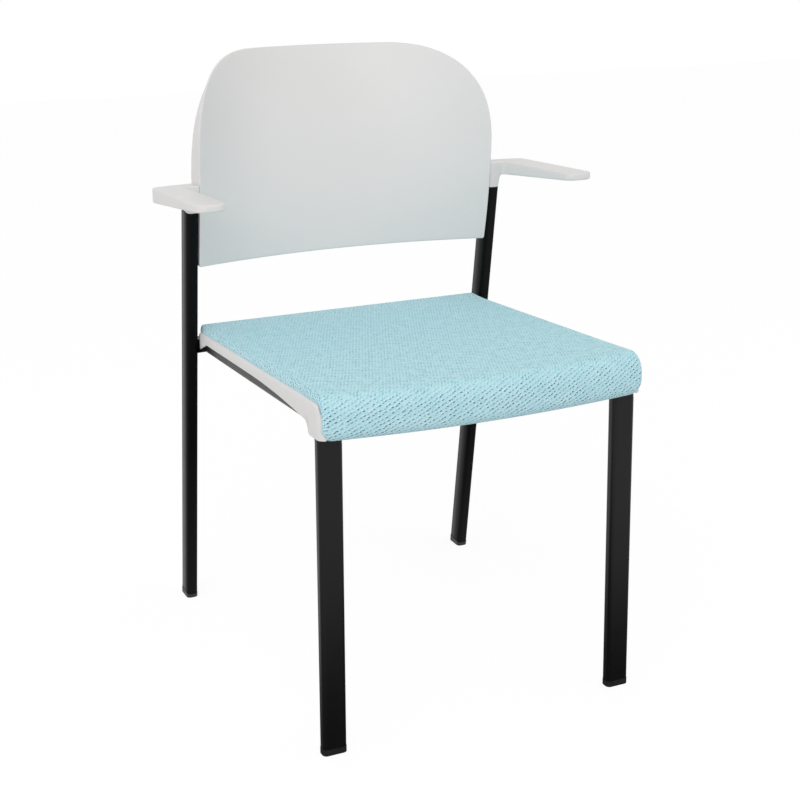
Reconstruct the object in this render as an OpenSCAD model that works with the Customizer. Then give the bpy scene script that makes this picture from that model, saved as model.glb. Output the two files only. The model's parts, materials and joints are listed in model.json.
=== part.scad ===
/* [Frame tube] */
// Wide side of the flat-sided oval steel tube
tube_w = 31.5; // [28:0.5:34]
// Narrow side of the tube
tube_t = 16; // [14:0.5:18]
// Wall of the tube
tube_wall = 1.5; // [1.2:0.1:2]
// Corner radius of the tube
tube_corner = 5.5; // [4:0.5:6]
// Radius of the bend between a front leg and its seat rail, at the tube's centre
bend_r = 30; // [26:1:36]

/* [Side frames] */
// Distance between the centres of the two seat rails
rail_span = 400.4; // [360:0.2:440]
// Height of a seat rail's centre, under the middle of the seat
rail_h = 417.9; // [380:0.1:440]
// Pitch of the seat rails, which rise to the front, in degrees
rail_pitch = 2.88; // [1:0.02:5]
// How far a front leg's line lies behind the cushion's front edge, at the rails
leg_inset = 24.7; // [22:0.1:30]
// Rake of the front legs, in degrees
leg_rake = 1.48; // [0.5:0.02:2.5]
// Outward splay of the front legs, in degrees
leg_splay = 0.55; // [0:0.05:1]
// How far the seat rails reach past the uprights' centre lines
rail_reach = 6.9; // [4:0.1:10]

/* [Uprights] */
// How far the rear legs stand behind the middle, on the floor
upright_foot_y = 251.9; // [235:0.1:270]
// Forward lean of the rear legs and uprights, in degrees
upright_lean = 8.01; // [7:0.01:9]
// Thickness of the plate that is welded between a rail and its upright
bracket_t = 4; // [3:0.5:6]

/* [Seat] */
// Depth of the seat cushion at the middle, from its rear edge to its front
seat_depth = 475; // [440:1:500]
// How far the rear edge of the cushion lies ahead of the uprights' centre lines
seat_rear_gap = 6.1; // [4:0.1:14]
// Height of the cushion's top over the rails, at the rear
seat_lift_rear = 17.6; // [16:0.2:22]
// Height of the cushion's top over the rails, at the front
seat_lift_front = 23.9; // [20:0.1:28]
// Radius of the rolled front edge of the cushion
seat_nose_r = 24; // [22:0.5:26]
// How far the front edge bows forward at the middle
seat_bow = 19.5; // [12:0.5:24]
// Rise of the cushion's middle over its sides
seat_crown = 2; // [0:0.5:8]
// How far the cushion's rear edge turns up
seat_rear_lip = 2.9; // [0:0.1:5]
// Wall of the moulded seat tray
tray_wall = 2.2; // [1.8:0.1:3]
// Floor of the moulded seat tray
tray_floor = 3; // [2.5:0.5:4]
// Thickness of the board under the foam
board_t = 6; // [5:0.5:8]
// Thickness of the fabric cover
cloth_t = 1.2; // [0.8:0.1:1.6]

/* [Back] */
// How far the back panel's lower edge lies under the arms
back_low_drop = 114; // [95:1:130]
// Height of the back panel at the middle, from its lower to its top edge
back_h = 277.4; // [240:0.2:330]
// Wall of the moulded back panel
back_t = 4; // [3:0.5:5]
// How far the lower edge's middle lies behind the uprights' centre lines
back_set = 14.9; // [12:0.1:18]
// How far the top edge's middle lies behind the lower edge's
back_recline = 92.3; // [80:0.1:100]
// How far the middle line bows forward between its ends
back_lumbar = 12.2; // [6:0.1:16]
// Depth of the curve across the lower edge
back_wrap_low = 29.9; // [26:0.1:34]
// Depth that the curve across the back would have at full width at the top
back_wrap_top = 135; // [110:1:145]
// Depth of the side walls that lie against the uprights
back_wall_depth = 38; // [34:1:42]

/* [Arms] */
// Width of an arm pad
arm_w = 39.5; // [34:0.5:50]
// Length of an arm pad
arm_len = 201; // [180:1:230]
// Height of an arm pad's top at its rear end
arm_rear_h = 637; // [620:1:660]
// Rise of the pad's top along its length
arm_rise = 11; // [4:0.5:16]
// Thickness of the pad at its rear end
arm_rear_t = 20.5; // [16:0.5:24]
// Thickness of the pad at its front end
arm_front_t = 9.5; // [8:0.5:14]
// Height of the arm's block between the upright's end and the pad
arm_block_h = 14.5; // [10:0.5:20]

/* [Fasteners and feet] */
// Height of a foot glide under the end of its tube
glide_h = 8; // [6:0.5:12]
// Thread diameter of the screws in the seat and the back
screw_d = 5.8; // [5:0.1:6]
// Thread diameter of the screws in the arms
arm_screw_d = 4; // [3:0.5:5]

/* [Hidden] */

// Reach of a cut past the face that it opens
over = 1;
// Gap between parts that seat on each other
fit = 0.3;
// Gap round a plug or a shank in its hole
slip = 0.15;
// Sides of a round part
round_sides = 48;
// How much the tube's section draws in where it is bent
bend_draw = 0.1;
// Length by which a straight tube runs on into the bend
bend_lap = 1;

rail_x = rail_span / 2;
rail_out_x = rail_x + tube_w / 2;
rail_in_x = rail_x - tube_w / 2;
upright_x = rail_out_x + bracket_t + tube_t / 2;
upright_in_x = upright_x - tube_t / 2;
upright_out_x = upright_x + tube_t / 2;
// Height of the plane on which the seat tray lies, over the floor at the middle
deck_h = rail_h + tube_t / 2 / cos(rail_pitch);
// Place of an upright's centre line at a height
function upright_y(z) = upright_foot_y - z * tan(upright_lean);
seat_rear_y = upright_y(rail_h) - seat_rear_gap;
seat_front_y = seat_rear_y - seat_depth + seat_bow;
rail_rear_y = upright_y(rail_h) + rail_reach;
// Corner where the lines of a leg and of its rail meet
corner_y = seat_front_y + leg_inset;
corner_z = rail_h - corner_y * tan(rail_pitch);
leg_foot_y = corner_z * tan(leg_rake) - corner_y;
bend_angle = 90 - leg_rake + rail_pitch;
bend_reach = bend_r * tan(bend_angle / 2);
leg_top_y = corner_y - bend_reach * sin(leg_rake);
leg_top_z = corner_z - bend_reach * cos(leg_rake);
bend_y = leg_top_y + bend_r * cos(leg_rake);
bend_z = leg_top_z - bend_r * sin(leg_rake);
leg_len = leg_top_z / cos(leg_rake);
rail_start_y = corner_y + bend_reach * cos(rail_pitch);
rail_start_z = corner_z - bend_reach * sin(rail_pitch);
rail_len = (rail_rear_y - rail_start_y) / cos(rail_pitch);
upright_h = arm_rear_h - arm_rear_t - arm_block_h;
upright_len = upright_h / cos(upright_lean);

// Crossbars under the seat
crossbar_d = 14;
crossbar_wall = 1.5;
front_crossbar_inset = 78.5;
rear_crossbar_inset = 27;

// Brackets between the rails and the uprights, in the plane of the rail
bracket_len = 40;
bracket_toe = 5.5;
bracket_under = 8;
bracket_shoulder = 17.5;
bracket_shoulder_drop = 7;

// Caps in the open rear ends of the rails
cap_t = 2;
cap_plug_len = 12;

// Tabs on the rails that take the seat screws
tab_len = 34;
tab_w = 24;
tab_t = 3;
tab_front_inset = 118.5;
tab_rear_inset = 62;
tab_front_y = seat_front_y + tab_front_inset;
tab_rear_y = seat_rear_y - tab_rear_inset;

// Seat tray, in the plane of the deck
tray_in_x = rail_out_x + fit;
tray_out_x = tray_in_x + tray_wall;
tray_rear_inset = 8;
tray_rear_y = seat_rear_y - tray_rear_inset;
tray_front_drop = 25;
tray_front_wall = 2.5;
tray_corner_r = 10;
tray_lip = 4.4;
tray_band_rear_h = 10;
tray_band_front_h = 14;
tray_band_corner_r = 14;
tray_band_inset = 8.7;
tray_band_front_y = seat_front_y + tray_band_inset;
tray_band_lean = 3;
tray_band_drop = 28.5;
tray_band_heel = 17.8;
tray_band_heel_y = corner_y + tray_band_heel;
tray_band_heel_r = 14;
tray_band_rear_drop = 1.8;
tray_band_mid_inset = 212;
tray_band_mid_y = seat_rear_y - tray_band_mid_inset;
tray_band_fore_drop = 12.3;
tray_ear_len = 28.5;
tray_ear_drop = 14;
tray_ear_slope = 1.5;

// Board, foam and cover, in the plane of the deck
cover_half_w = tray_out_x - tray_lip - fit;
board_inset = 4;
board_front_inset = 41;
board_half_w = cover_half_w - board_inset;
board_rear_y = seat_rear_y - board_inset;
board_front_y = seat_front_y + board_front_inset;
cover_skirt = 4;
cover_edge_r = 5;
nose_wall = 7.2;
nose_flat = 13.5;
nose_low_r = 18;
nose_tuck = 75;
foam_tuck = 40;
foam_nose_r = 5;
cover_corner = 9;
cover_corner_rise = 13;
cover_nose_gap = 0.5;
lip_share = 0.12;
nose_y = seat_front_y + seat_nose_r;
nose_h = seat_lift_front - seat_nose_r;
// Front of what the foam wraps: the tray's front wall, at the corners and at the middle
wrap_y = seat_front_y + nose_wall;
tray_front_y = wrap_y - seat_bow + fit;
tray_bow_r = (pow(cover_half_w, 2) + pow(seat_bow, 2)) / (2 * seat_bow);
tray_corner_x = tray_out_x - tray_corner_r;
tray_corner_y = tray_front_y + tray_bow_r - sqrt(pow(tray_bow_r - tray_corner_r, 2) - pow(tray_corner_x, 2));

// Nuts, screws and their holes
head_d = 11;
head_t = 3.3;
hole_d = screw_d + 2 * slip;
nut_d = 9;
nut_len = 11;
nut_flange_d = 12;
tee_d = 8;
tee_flange_d = 18;
tee_flange_t = 1.2;
seat_screw_len = tab_t + fit + tray_floor + board_t - slip;
back_fix_rise = 22;
back_fix_drop = 10;
back_screw_len = 15;
arm_screw_len = 9;
arm_screw_drop = 18;
arm_head_d = 8;
arm_head_t = 2.2;

// Back panel
back_low_h = arm_rear_h - back_low_drop;
back_top_h = back_low_h + back_h;
back_gap = 1.2;
back_half_w = upright_in_x - back_gap;
back_rim_rise = 7.3;
back_corner_w = 126.6;
back_corner_h = 155.8;
back_corner_power = 2.75;
back_lip = 0.6;
back_taper_rise = 3;
back_taper_run = 125;
back_taper_power = 1.8;

// Arms
arm_gap = 4.3;
arm_front_r = 16;
arm_rear_r = 5;
arm_inner_r = 5;
arm_fillet_r = 4;
arm_in_x = upright_out_x + arm_gap;
arm_out_x = arm_in_x + arm_w;
arm_tail = 3.2;
arm_rear_y = upright_y(arm_rear_h) + arm_tail;
spigot_len = 40;

// Foot glides
glide_flange = 0.4;
glide_plug_len = 20;

// Flat-sided oval outline, with round corners
module oval(w, t, r) {
    square([w - 2 * r, t], center = true);
    square([w, t - 2 * r], center = true);
    for (x = [-1, 1], y = [-1, 1])
        translate([x * (w / 2 - r), y * (t / 2 - r)])
            circle(r, $fn = round_sides);
}

// Section of the tube, or of its bore when in is the wall
module tube_section(in = 0) {
    oval(tube_w - 2 * in, tube_t - 2 * in, tube_corner - in);
}

// Outline of a leg and its rail as one solid bar, thinner by in all round
module side_bar(in = 0, reach = 0) {
    translate([0, bend_y, bend_z])
        rotate([0, 90, 0])
            rotate([0, 0, 180 - rail_pitch]) {
                rotate_extrude(angle = bend_angle, $fn = 4 * round_sides)
                    translate([bend_r, 0])
                        rotate(90)
                            tube_section(in + bend_draw);
                translate([bend_r, bend_lap, 0])
                    rotate([90, 0, 0])
                        linear_extrude(rail_len + bend_lap + reach)
                            rotate(90)
                                tube_section(in);
                rotate(bend_angle)
                    translate([bend_r, -bend_lap, 0])
                        rotate([-90, 0, 0])
                            linear_extrude(leg_len - glide_h + bend_lap + reach)
                                rotate(90)
                                    tube_section(in);
            }
}

// Leans what stands at x zero out to the right, about the height of the rails
module splayed() {
    translate([rail_x, 0, rail_h])
        rotate([0, -leg_splay, 0])
            translate([0, 0, -rail_h])
                children();
}

// Right side frame: a front leg and a seat rail, bent from one tube
module side_frame() {
    splayed()
        difference() {
            side_bar();
            side_bar(tube_wall, over);
        }
}

// Puts its children on the right upright's line, z along the tube
module on_upright() {
    translate([upright_x, upright_y(0), 0])
        rotate([upright_lean, 0, 0])
            children();
}

// Puts its children in the plane on which the seat lies
module on_deck() {
    translate([0, 0, deck_h])
        rotate([-rail_pitch, 0, 0])
            children();
}

// Puts its children at a screw of the back, z pointing out through the upright
module at_back_screws() {
    for (h = [back_low_h + back_fix_rise, upright_h - back_fix_drop])
        on_upright()
            translate([0, 0, h / cos(upright_lean)])
                rotate([0, 90, 0])
                    children();
}

// Right upright: a rear leg that goes on up to the arm
module upright() {
    difference() {
        on_upright()
            difference() {
                translate([0, 0, glide_h])
                    linear_extrude(upright_len - glide_h)
                        rotate(90)
                            tube_section();
                translate([0, 0, glide_h - over])
                    linear_extrude(upright_len - glide_h + 2 * over)
                        rotate(90)
                            tube_section(tube_wall);
            }
        at_back_screws()
            translate([0, 0, -tube_t / 2 - over])
                cylinder(d = nut_d + 2 * slip, h = over + 2 * tube_wall, $fn = round_sides);
        at_arm_screw()
            translate([0, 0, -2 * tube_wall])
                cylinder(d = arm_screw_d + 2 * slip, h = 2 * tube_wall + over, $fn = round_sides);
    }
}

// Right bracket: a plate between the rail's outer side and the upright
module bracket() {
    top = tube_t / 2;
    difference() {
        translate([rail_out_x - over, 0, rail_h])
            rotate([-rail_pitch, 0, 0])
                rotate([90, 0, 90])
                    linear_extrude(upright_in_x - rail_out_x + over)
                        polygon([[rail_rear_y - bracket_len, -bracket_toe],
                            [rail_rear_y, -top - bracket_under],
                            [rail_rear_y, top], [rail_rear_y - bracket_shoulder, top],
                            [rail_rear_y - bracket_shoulder, -bracket_shoulder_drop],
                            [rail_rear_y - bracket_len, 0]]);
        splayed()
            side_bar(0, over);
        translate([rail_out_x - 2 * over, rail_rear_y - bracket_len - over, rail_h - 2 * tube_w])
            cube([2 * over - slip, bracket_len + 2 * over, 3 * tube_w]);
    }
}

// Tube across the frame, coped to the inner sides of the two rails
module crossbar(y) {
    z = rail_h - y * tan(rail_pitch);
    difference() {
        translate([-rail_x, y, z])
            rotate([0, 90, 0])
                cylinder(d = crossbar_d, h = rail_span, $fn = round_sides);
        translate([-rail_x - over, y, z])
            rotate([0, 90, 0])
                cylinder(d = crossbar_d - 2 * crossbar_wall, h = rail_span + 2 * over, $fn = round_sides);
        for (side = [0, 1])
            mirror([side, 0, 0])
                crossbar_end();
    }
}

// What a crossbar gives up to the rail that it meets
module crossbar_end() {
    splayed()
        side_bar();
    translate([rail_x, -leg_foot_y, rail_h - tube_w])
        cube([tube_w, 2 * leg_foot_y, 2 * tube_w]);
}

// Caps that close the rear ends of the two rails
module rail_caps() {
    for (side = [0, 1])
        mirror([side, 0, 0])
            splayed()
                translate([0, rail_start_y, rail_start_z])
                    rotate([-90 - rail_pitch, 0, 0]) {
                        translate([0, 0, rail_len])
                            linear_extrude(cap_t)
                                tube_section();
                        translate([0, 0, rail_len - cap_plug_len])
                            linear_extrude(cap_plug_len + cap_t)
                                tube_section(tube_wall + slip);
                    }
}

// Places of the four seat screws, on the deck
module at_seat_screws() {
    for (x = [-1, 1], y = [tab_front_y, tab_rear_y])
        translate([x * (rail_in_x - tab_w / 2), y, 0])
            children();
}

// Plates on the inner sides of the rails, drilled for the seat screws
module mount_tabs() {
    difference() {
        on_deck()
            difference() {
                for (side = [0, 1], y = [tab_front_y, tab_rear_y])
                    mirror([side, 0, 0])
                        translate([rail_in_x - tab_w, y - tab_len / 2, -tab_t])
                            cube([tab_w + tube_corner, tab_len, tab_t]);
                at_seat_screws()
                    translate([0, 0, -tab_t - over])
                        cylinder(d = hole_d, h = tab_t + 2 * over, $fn = round_sides);
            }
        for (side = [0, 1])
            mirror([side, 0, 0])
                splayed()
                    side_bar();
    }
}

// Points of an arc from angle a to angle b
function arc(y, h, r, a, b, n) = [for (k = [0:n]) let (t = a + (b - a) * k / n)
    [y + r * cos(t), h + r * sin(t)]];

// Side of the tray, along the rail and down the front leg
function band_outline() = concat(
    [[tray_rear_y, tray_band_rear_h]],
    arc(tray_band_front_y + tray_band_corner_r, tray_band_front_h - tray_band_corner_r,
        tray_band_corner_r, 90, 180, 8),
    [[tray_band_front_y - tray_band_lean, -tray_band_front_h]],
    [[tray_band_front_y - tray_band_lean, -tray_band_drop]],
    [[tray_band_heel_y - tray_band_lean, -tray_band_drop]],
    arc(tray_band_heel_y + tray_band_heel_r, -tray_band_fore_drop - tray_band_heel_r,
        tray_band_heel_r, 180, 90, 6),
    [for (k = [3:-1:0]) [tray_band_mid_y + (tray_band_heel_y + tray_band_heel_r - tray_band_mid_y) * k / 4,
        -tray_band_rear_drop - (tray_band_fore_drop - tray_band_rear_drop) * pow(k / 4, 2)]],
    [[tray_rear_y - tray_ear_len, -tray_band_rear_drop]],
    [[tray_rear_y - tray_ear_slope, -tray_ear_drop]]);

// Plan of the tray, drawn in by in: straight sides, round corners and a bowed front
module tray_plan(in = 0) {
    translate([-tray_out_x + in, tray_corner_y])
        square([2 * (tray_out_x - in), tray_rear_y - tray_corner_y]);
    for (x = [-1, 1])
        translate([x * tray_corner_x, tray_corner_y])
            circle(tray_corner_r - in, $fn = 2 * round_sides);
    reach = tray_corner_x * (tray_bow_r - in) / (tray_bow_r - tray_corner_r);
    intersection() {
        translate([0, tray_front_y + tray_bow_r])
            circle(tray_bow_r - in, $fn = 16 * round_sides);
        translate([-reach, tray_front_y - over])
            square([2 * reach, tray_corner_y - tray_front_y + 2 * over]);
    }
}

// Upright wall of the tray, from low to high
module tray_rim(in, low, high) {
    translate([0, 0, low])
        difference() {
            linear_extrude(high - low)
                tray_plan();
            translate([0, 0, -over])
                linear_extrude(high - low + 2 * over)
                    union() {
                        tray_plan(in);
                        translate([-tray_out_x + in, tray_rear_y - over])
                            square([2 * (tray_out_x - in), 2 * over]);
                    }
        }
}

// Moulded tray that carries the cushion: a floor, two side bands and a front wall
module seat_tray() {
    on_deck()
        difference() {
            union() {
                intersection() {
                    union() {
                        tray_rim(tray_wall, -tray_band_drop - over, tray_band_front_h + over);
                        tray_rim(tray_lip, fit, tray_band_front_h + over);
                    }
                    for (x = [-tray_out_x - over, tray_corner_x])
                        translate([x, 0, 0])
                            rotate([90, 0, 90])
                                linear_extrude(tray_out_x + over - tray_corner_x)
                                    polygon(band_outline());
                }
                intersection() {
                    tray_rim(tray_front_wall, -tray_front_drop, fit + tray_floor);
                    translate([-tray_corner_x - over, tray_front_y - over, -tray_front_drop - over])
                        cube([2 * (tray_corner_x + over), seat_bow + tray_corner_r,
                            tray_front_drop + 2 * tray_floor]);
                }
                translate([0, 0, fit])
                    linear_extrude(tray_floor)
                        tray_plan(slip);
            }
            at_seat_screws()
                translate([0, 0, -over])
                    cylinder(d = hole_d, h = tray_floor + 2 * over, $fn = round_sides);
        }
}

// Board that stiffens the cushion, with its tee nuts let in flush
module seat_board() {
    on_deck()
        translate([0, 0, fit + tray_floor])
            difference() {
                translate([-board_half_w, board_front_y, 0])
                    cube([2 * board_half_w, board_rear_y - board_front_y, board_t]);
                at_seat_screws() {
                    translate([0, 0, -over])
                        cylinder(d = tee_d + 2 * slip, h = board_t + 2 * over, $fn = round_sides);
                    translate([0, 0, board_t - tee_flange_t])
                        cylinder(d = tee_flange_d + 2 * slip, h = tee_flange_t + over, $fn = round_sides);
                }
            }
}

// Tee nuts in the board
module seat_tee_nuts() {
    on_deck()
        at_seat_screws()
            translate([0, 0, fit + tray_floor])
                difference() {
                    union() {
                        cylinder(d = tee_d, h = board_t, $fn = round_sides);
                        translate([0, 0, board_t - tee_flange_t])
                            cylinder(d = tee_flange_d, h = tee_flange_t, $fn = round_sides);
                    }
                    translate([0, 0, -over])
                        cylinder(d = hole_d, h = board_t + 2 * over, $fn = round_sides);
                }
}

// Screw with a flat round head, its shank along z from zero
module screw(d, len, head, thick) {
    cylinder(d = d, h = len, $fn = round_sides);
    translate([0, 0, -thick])
        cylinder(d = head, h = thick, $fn = round_sides);
}

// Screws that hold the seat down, from below
module seat_screws() {
    on_deck()
        at_seat_screws()
            translate([0, 0, -tab_t])
                screw(screw_d, seat_screw_len, head_d, head_t);
}

// Place of a grid point in a list, and the walk round a grid's border
function at(i, j, nj) = i * nj + j;
function border(ni, nj) = concat(
    [for (j = [0:nj - 2]) at(0, j, nj)],
    [for (i = [0:ni - 2]) at(i, nj - 1, nj)],
    [for (j = [nj - 1:-1:1]) at(ni - 1, j, nj)],
    [for (i = [ni - 1:-1:1]) at(i, 0, nj)]);
// Triangles of a grid, seen from its outer side, or from inside
function grid_faces(ni, nj, base) = [for (i = [0:ni - 2], j = [0:nj - 2], k = [0, 1])
    k == 0 ? [base + at(i, j, nj), base + at(i + 1, j, nj), base + at(i + 1, j + 1, nj)]
        : [base + at(i, j, nj), base + at(i + 1, j + 1, nj), base + at(i, j + 1, nj)]];
function turned(faces) = [for (f = faces) [f[2], f[1], f[0]]];
function moved(list, by) = [for (v = list) v + by];
// Triangles between two closed walks of the same length
function band_faces(a, b) = let (n = len(a)) [for (k = [0:n - 1], h = [0, 1])
    h == 0 ? [a[k], a[(k + 1) % n], b[(k + 1) % n]] : [a[k], b[(k + 1) % n], b[k]]];
function flat(rows) = [for (row = rows, p = row) p];

// Closed solid between two grids of the same size
module slab(outer, inner) {
    ni = len(outer);
    nj = len(outer[0]);
    n = ni * nj;
    walk = border(ni, nj);
    polyhedron(concat(flat(outer), flat(inner)),
        concat(grid_faces(ni, nj, 0), turned(grid_faces(ni, nj, n)), band_faces(walk, moved(walk, n))));
}

// Places along the cushion's depth, from its rear edge to the start of the nose
depth_shares = [0.04, 0.09, 0.16, 0.3, 0.45, 0.6, 0.75, 0.88];
function side_line(t) = seat_rear_y + (nose_y - seat_rear_y) * t;
function top_line(t) = seat_lift_rear + (seat_lift_front - seat_lift_rear) * t
    + seat_rear_lip * pow(max(0, 1 - t / lip_share), 2);
// Each entry is a place along the depth, a height and the share of the bow that it follows
function cover_profile(in, tuck, skirt) = concat(
    [[seat_rear_y - in, skirt, 0]],
    [for (a = [0, 45, 90]) [seat_rear_y - cover_edge_r + (cover_edge_r - in) * cos(a),
        top_line(0) - cover_edge_r + (cover_edge_r - in) * sin(a), 0]],
    [for (t = depth_shares) [side_line(t), top_line(t) - in, t * t]],
    [for (a = [90:18:180]) [nose_y + (seat_nose_r - in) * cos(a), nose_h + (seat_nose_r - in) * sin(a), 1]],
    [for (k = [0:3]) let (a = 180 + tuck * k / 3)
        [nose_y - seat_nose_r + nose_low_r + (nose_low_r - in) * cos(a),
            nose_h - nose_flat + (nose_low_r - in) * sin(a), 1]]);

// Line that the cushion rests on, in step with its profile, turning down at front with radius r
function rest_profile(tuck, lift, front, top, r) = concat(
    [[board_rear_y, lift, 0]],
    [for (k = [1:3]) [board_rear_y - fit * k, lift, 0]],
    [for (t = depth_shares) [side_line(t), lift, t * t]],
    [for (a = [90:18:180]) [front + r + r * cos(a), top - r + r * sin(a), 1]],
    [for (k = [0:3]) [front, nose_h - nose_flat - (nose_low_r - cloth_t) * sin(tuck * k / 3), 1]]);

// Stations across the cushion: share of the half width, and how far up the side it lies
edge_shares = [[0.972, 1], [0.99, 0.93], [0.998, 0.75], [1, 0.4], [1, 0.02]];
flat_share = 0.93;
stations = concat(
    [for (k = [4:-1:0]) [-edge_shares[k][0], edge_shares[k][1]]],
    [for (k = [-5:5]) [flat_share * k / 5, 1]],
    edge_shares);
function crown_at(x, t) = seat_crown * (1 - x * x) * sin(180 * t);

// Grid of the cushion's upper side, drawn in by in, with its sides brought down to a low line
function cover_grid(in, tuck, skirt, low) =
    let (p = cover_profile(in, tuck, skirt), n = len(p))
    [for (s = stations)
        let (x = s[0] * (cover_half_w - in), bow = seat_bow * (1 - s[0] * s[0]))
        [for (j = [0:n - 1])
            let (y = low[j][0] + (p[j][0] - low[j][0]) * s[1],
                h = low[j][1] + (p[j][1] - low[j][1]) * s[1],
                t = max(0, min(1, (seat_rear_y - p[j][0]) / (seat_rear_y - nose_y))),
                up = j > n - 5 ? cover_corner_rise * corner_share(s[0]) * (j - n + 5) / 4 : 0)
            [x, y - bow * p[j][2], h + up + crown_at(s[0], t) * s[1]]]];
// How much the cushion's lower front corner is lifted, at a share of the half width
function corner_share(x) =
    pow(max(0, (abs(x) * cover_half_w - cover_half_w + cover_corner) / cover_corner), 2);

// Foam on the board and over the front wall of the tray
module seat_foam() {
    in = cloth_t + fit;
    lift = 2 * fit + tray_floor + board_t;
    rest = rest_profile(foam_tuck, lift, wrap_y, lift, foam_nose_r);
    bottom = [for (s = stations) [for (q = rest)
        [s[0] * (board_half_w - in), q[0] - seat_bow * (1 - s[0] * s[0]) * q[2], q[1]]]];
    on_deck()
        slab(cover_grid(in, foam_tuck, lift + fit, rest), bottom);
}

// Fabric cover over the foam, down its sides and round the front
module seat_cover() {
    low = rest_profile(nose_tuck, cover_skirt, tray_band_front_y - cover_nose_gap,
        tray_band_front_h + cover_nose_gap, tray_band_corner_r + cover_nose_gap);
    on_deck()
        slab(cover_grid(0, nose_tuck, cover_skirt, low), cover_grid(cloth_t, nose_tuck, cover_skirt, low));
}

// Middle line of the back's front face, and its curve across, at a height
function back_share(z) = (z - back_low_h) / (back_top_h - back_low_h);
function back_mid_y(z) = let (t = back_share(z))
    upright_y(back_low_h) + back_set + back_recline * t - 4 * back_lumbar * t * (1 - t);
function back_wrap(z) = back_wrap_low + (back_wrap_top - back_wrap_low) * back_share(z);
function back_face_y(x, z) = back_mid_y(z) - back_wrap(z) * pow(x / back_half_w, 2);

// Outline of the back, as stations from one side to the other: x, and the height of the rim
function rim_station(a, in) =
    let (w = back_corner_w - in, h = back_corner_h - in, power = 2 / back_corner_power)
    let (x = back_half_w - in - w + w * pow(sin(a), power))
    [x, back_top_h - in + back_rim_rise * pow(x / back_half_w, 2) - h * (1 - pow(cos(a), power))];
function half_rim(in) = concat(
    [for (k = [0:4]) let (x = (back_half_w - back_corner_w) * k / 5)
        [x, back_top_h - in + back_rim_rise * pow(x / back_half_w, 2)]],
    [for (a = [0, 5, 11, 18, 25, 32.5, 40, 47.5, 55, 62.5, 70, 77, 84, 90]) rim_station(a, in)]);
function full_rim(in) = let (r = half_rim(in)) concat(
    [for (k = [len(r) - 1:-1:1]) [-r[k][0], r[k][1]]], r);
back_rows = 12;
// Depth through the wall at a place, where the face is turned from the middle
function back_depth(x, z) = back_t * sqrt(1 + pow(2 * back_wrap(z) * x / pow(back_half_w, 2), 2));
function back_grid(in) = [for (s = full_rim(in))
    [for (j = [0:back_rows]) let (z = back_low_h + in + (s[1] - back_low_h - in) * j / back_rows)
        [s[0], back_face_y(s[0], z) + (in > 0 ? back_depth(s[0], z) : 0), z]]];

// Depth of the wall behind the rim, full along the uprights and drawn out over the corners
function wall_depth(z) = let (t = max(0, min(1, (z - arm_rear_h - back_taper_rise) / back_taper_run)))
    back_t + back_lip + (back_wall_depth - back_t - back_lip) * (1 - pow(t, back_taper_power));

// Back panel: a curved face with walls behind its sides
module back_panel() {
    outer = back_grid(0);
    inner = back_grid(back_t);
    ni = len(outer);
    nj = back_rows + 1;
    n = ni * nj;
    walk = border(ni, nj);
    m = len(walk);
    front = flat(outer);
    rear = flat(inner);
    depth = [for (v = walk) let (i = floor(v / nj), j = v % nj, low = j == 0 && i > 0 && i < ni - 1)
        low ? back_t + back_lip : wall_depth(front[v][2])];
    far = [for (k = [0:m - 1]) front[walk[k]] + [0, depth[k], 0]];
    near = [for (k = [0:m - 1]) let (p = rear[walk[k]], q = front[walk[k]])
        [p[0], max(q[1] + depth[k], p[1] + back_lip), p[2]]];
    a = moved([for (k = [0:m - 1]) k], 2 * n);
    b = moved(a, m);
    difference() {
        polyhedron(concat(front, rear, far, near),
            turned(concat(grid_faces(ni, nj, 0), turned(grid_faces(ni, nj, n)),
                band_faces(walk, a), band_faces(a, b), band_faces(b, moved(walk, n)))));
        for (side = [0, 1])
            mirror([side, 0, 0])
                at_back_screws()
                    translate([0, 0, -tube_t / 2 - back_gap - back_t - over])
                        cylinder(d = hole_d, h = back_t + 2 * over, $fn = round_sides);
    }
}

// Rivet nuts set in the inner sides of the uprights
module back_rivet_nuts() {
    for (side = [0, 1])
        mirror([side, 0, 0])
            at_back_screws()
                translate([0, 0, -tube_t / 2])
                    difference() {
                        union() {
                            cylinder(d = nut_d, h = nut_len, $fn = round_sides);
                            translate([0, 0, -back_gap])
                                cylinder(d = nut_flange_d, h = back_gap, $fn = round_sides);
                        }
                        translate([0, 0, -back_gap - over])
                            cylinder(d = hole_d, h = nut_len + back_gap + 2 * over, $fn = round_sides);
                    }
}

// Screws through the side walls of the back into the rivet nuts
module back_screws() {
    for (side = [0, 1])
        mirror([side, 0, 0])
            at_back_screws()
                translate([0, 0, -tube_t / 2 - back_gap - back_t])
                    screw(screw_d, back_screw_len, head_d, head_t);
}

// Puts its children at the arm's screw, z pointing out of the rear of the upright
module at_arm_screw() {
    on_upright()
        translate([0, tube_w / 2, upright_len - arm_screw_drop])
            rotate([-90, 0, 0])
                children();
}

// Side view of an arm: its pad, thin at the front, or all that lies under the pad's top
module arm_side(low) {
    front_y = arm_rear_y - arm_len;
    past = tube_w;
    top_slope = arm_rise / arm_len;
    low_slope = (arm_rise + arm_rear_t - arm_front_t) / arm_len;
    rotate([90, 0, 90])
        linear_extrude(arm_out_x + over)
            polygon([[arm_rear_y + past, low ? 0 : arm_rear_h - arm_rear_t - low_slope * past],
                [arm_rear_y + past, arm_rear_h - top_slope * past],
                [front_y - over, arm_rear_h + arm_rise + top_slope * over],
                [front_y - over, low ? 0 : arm_rear_h + arm_rise - arm_front_t + low_slope * over]]);
}

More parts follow.
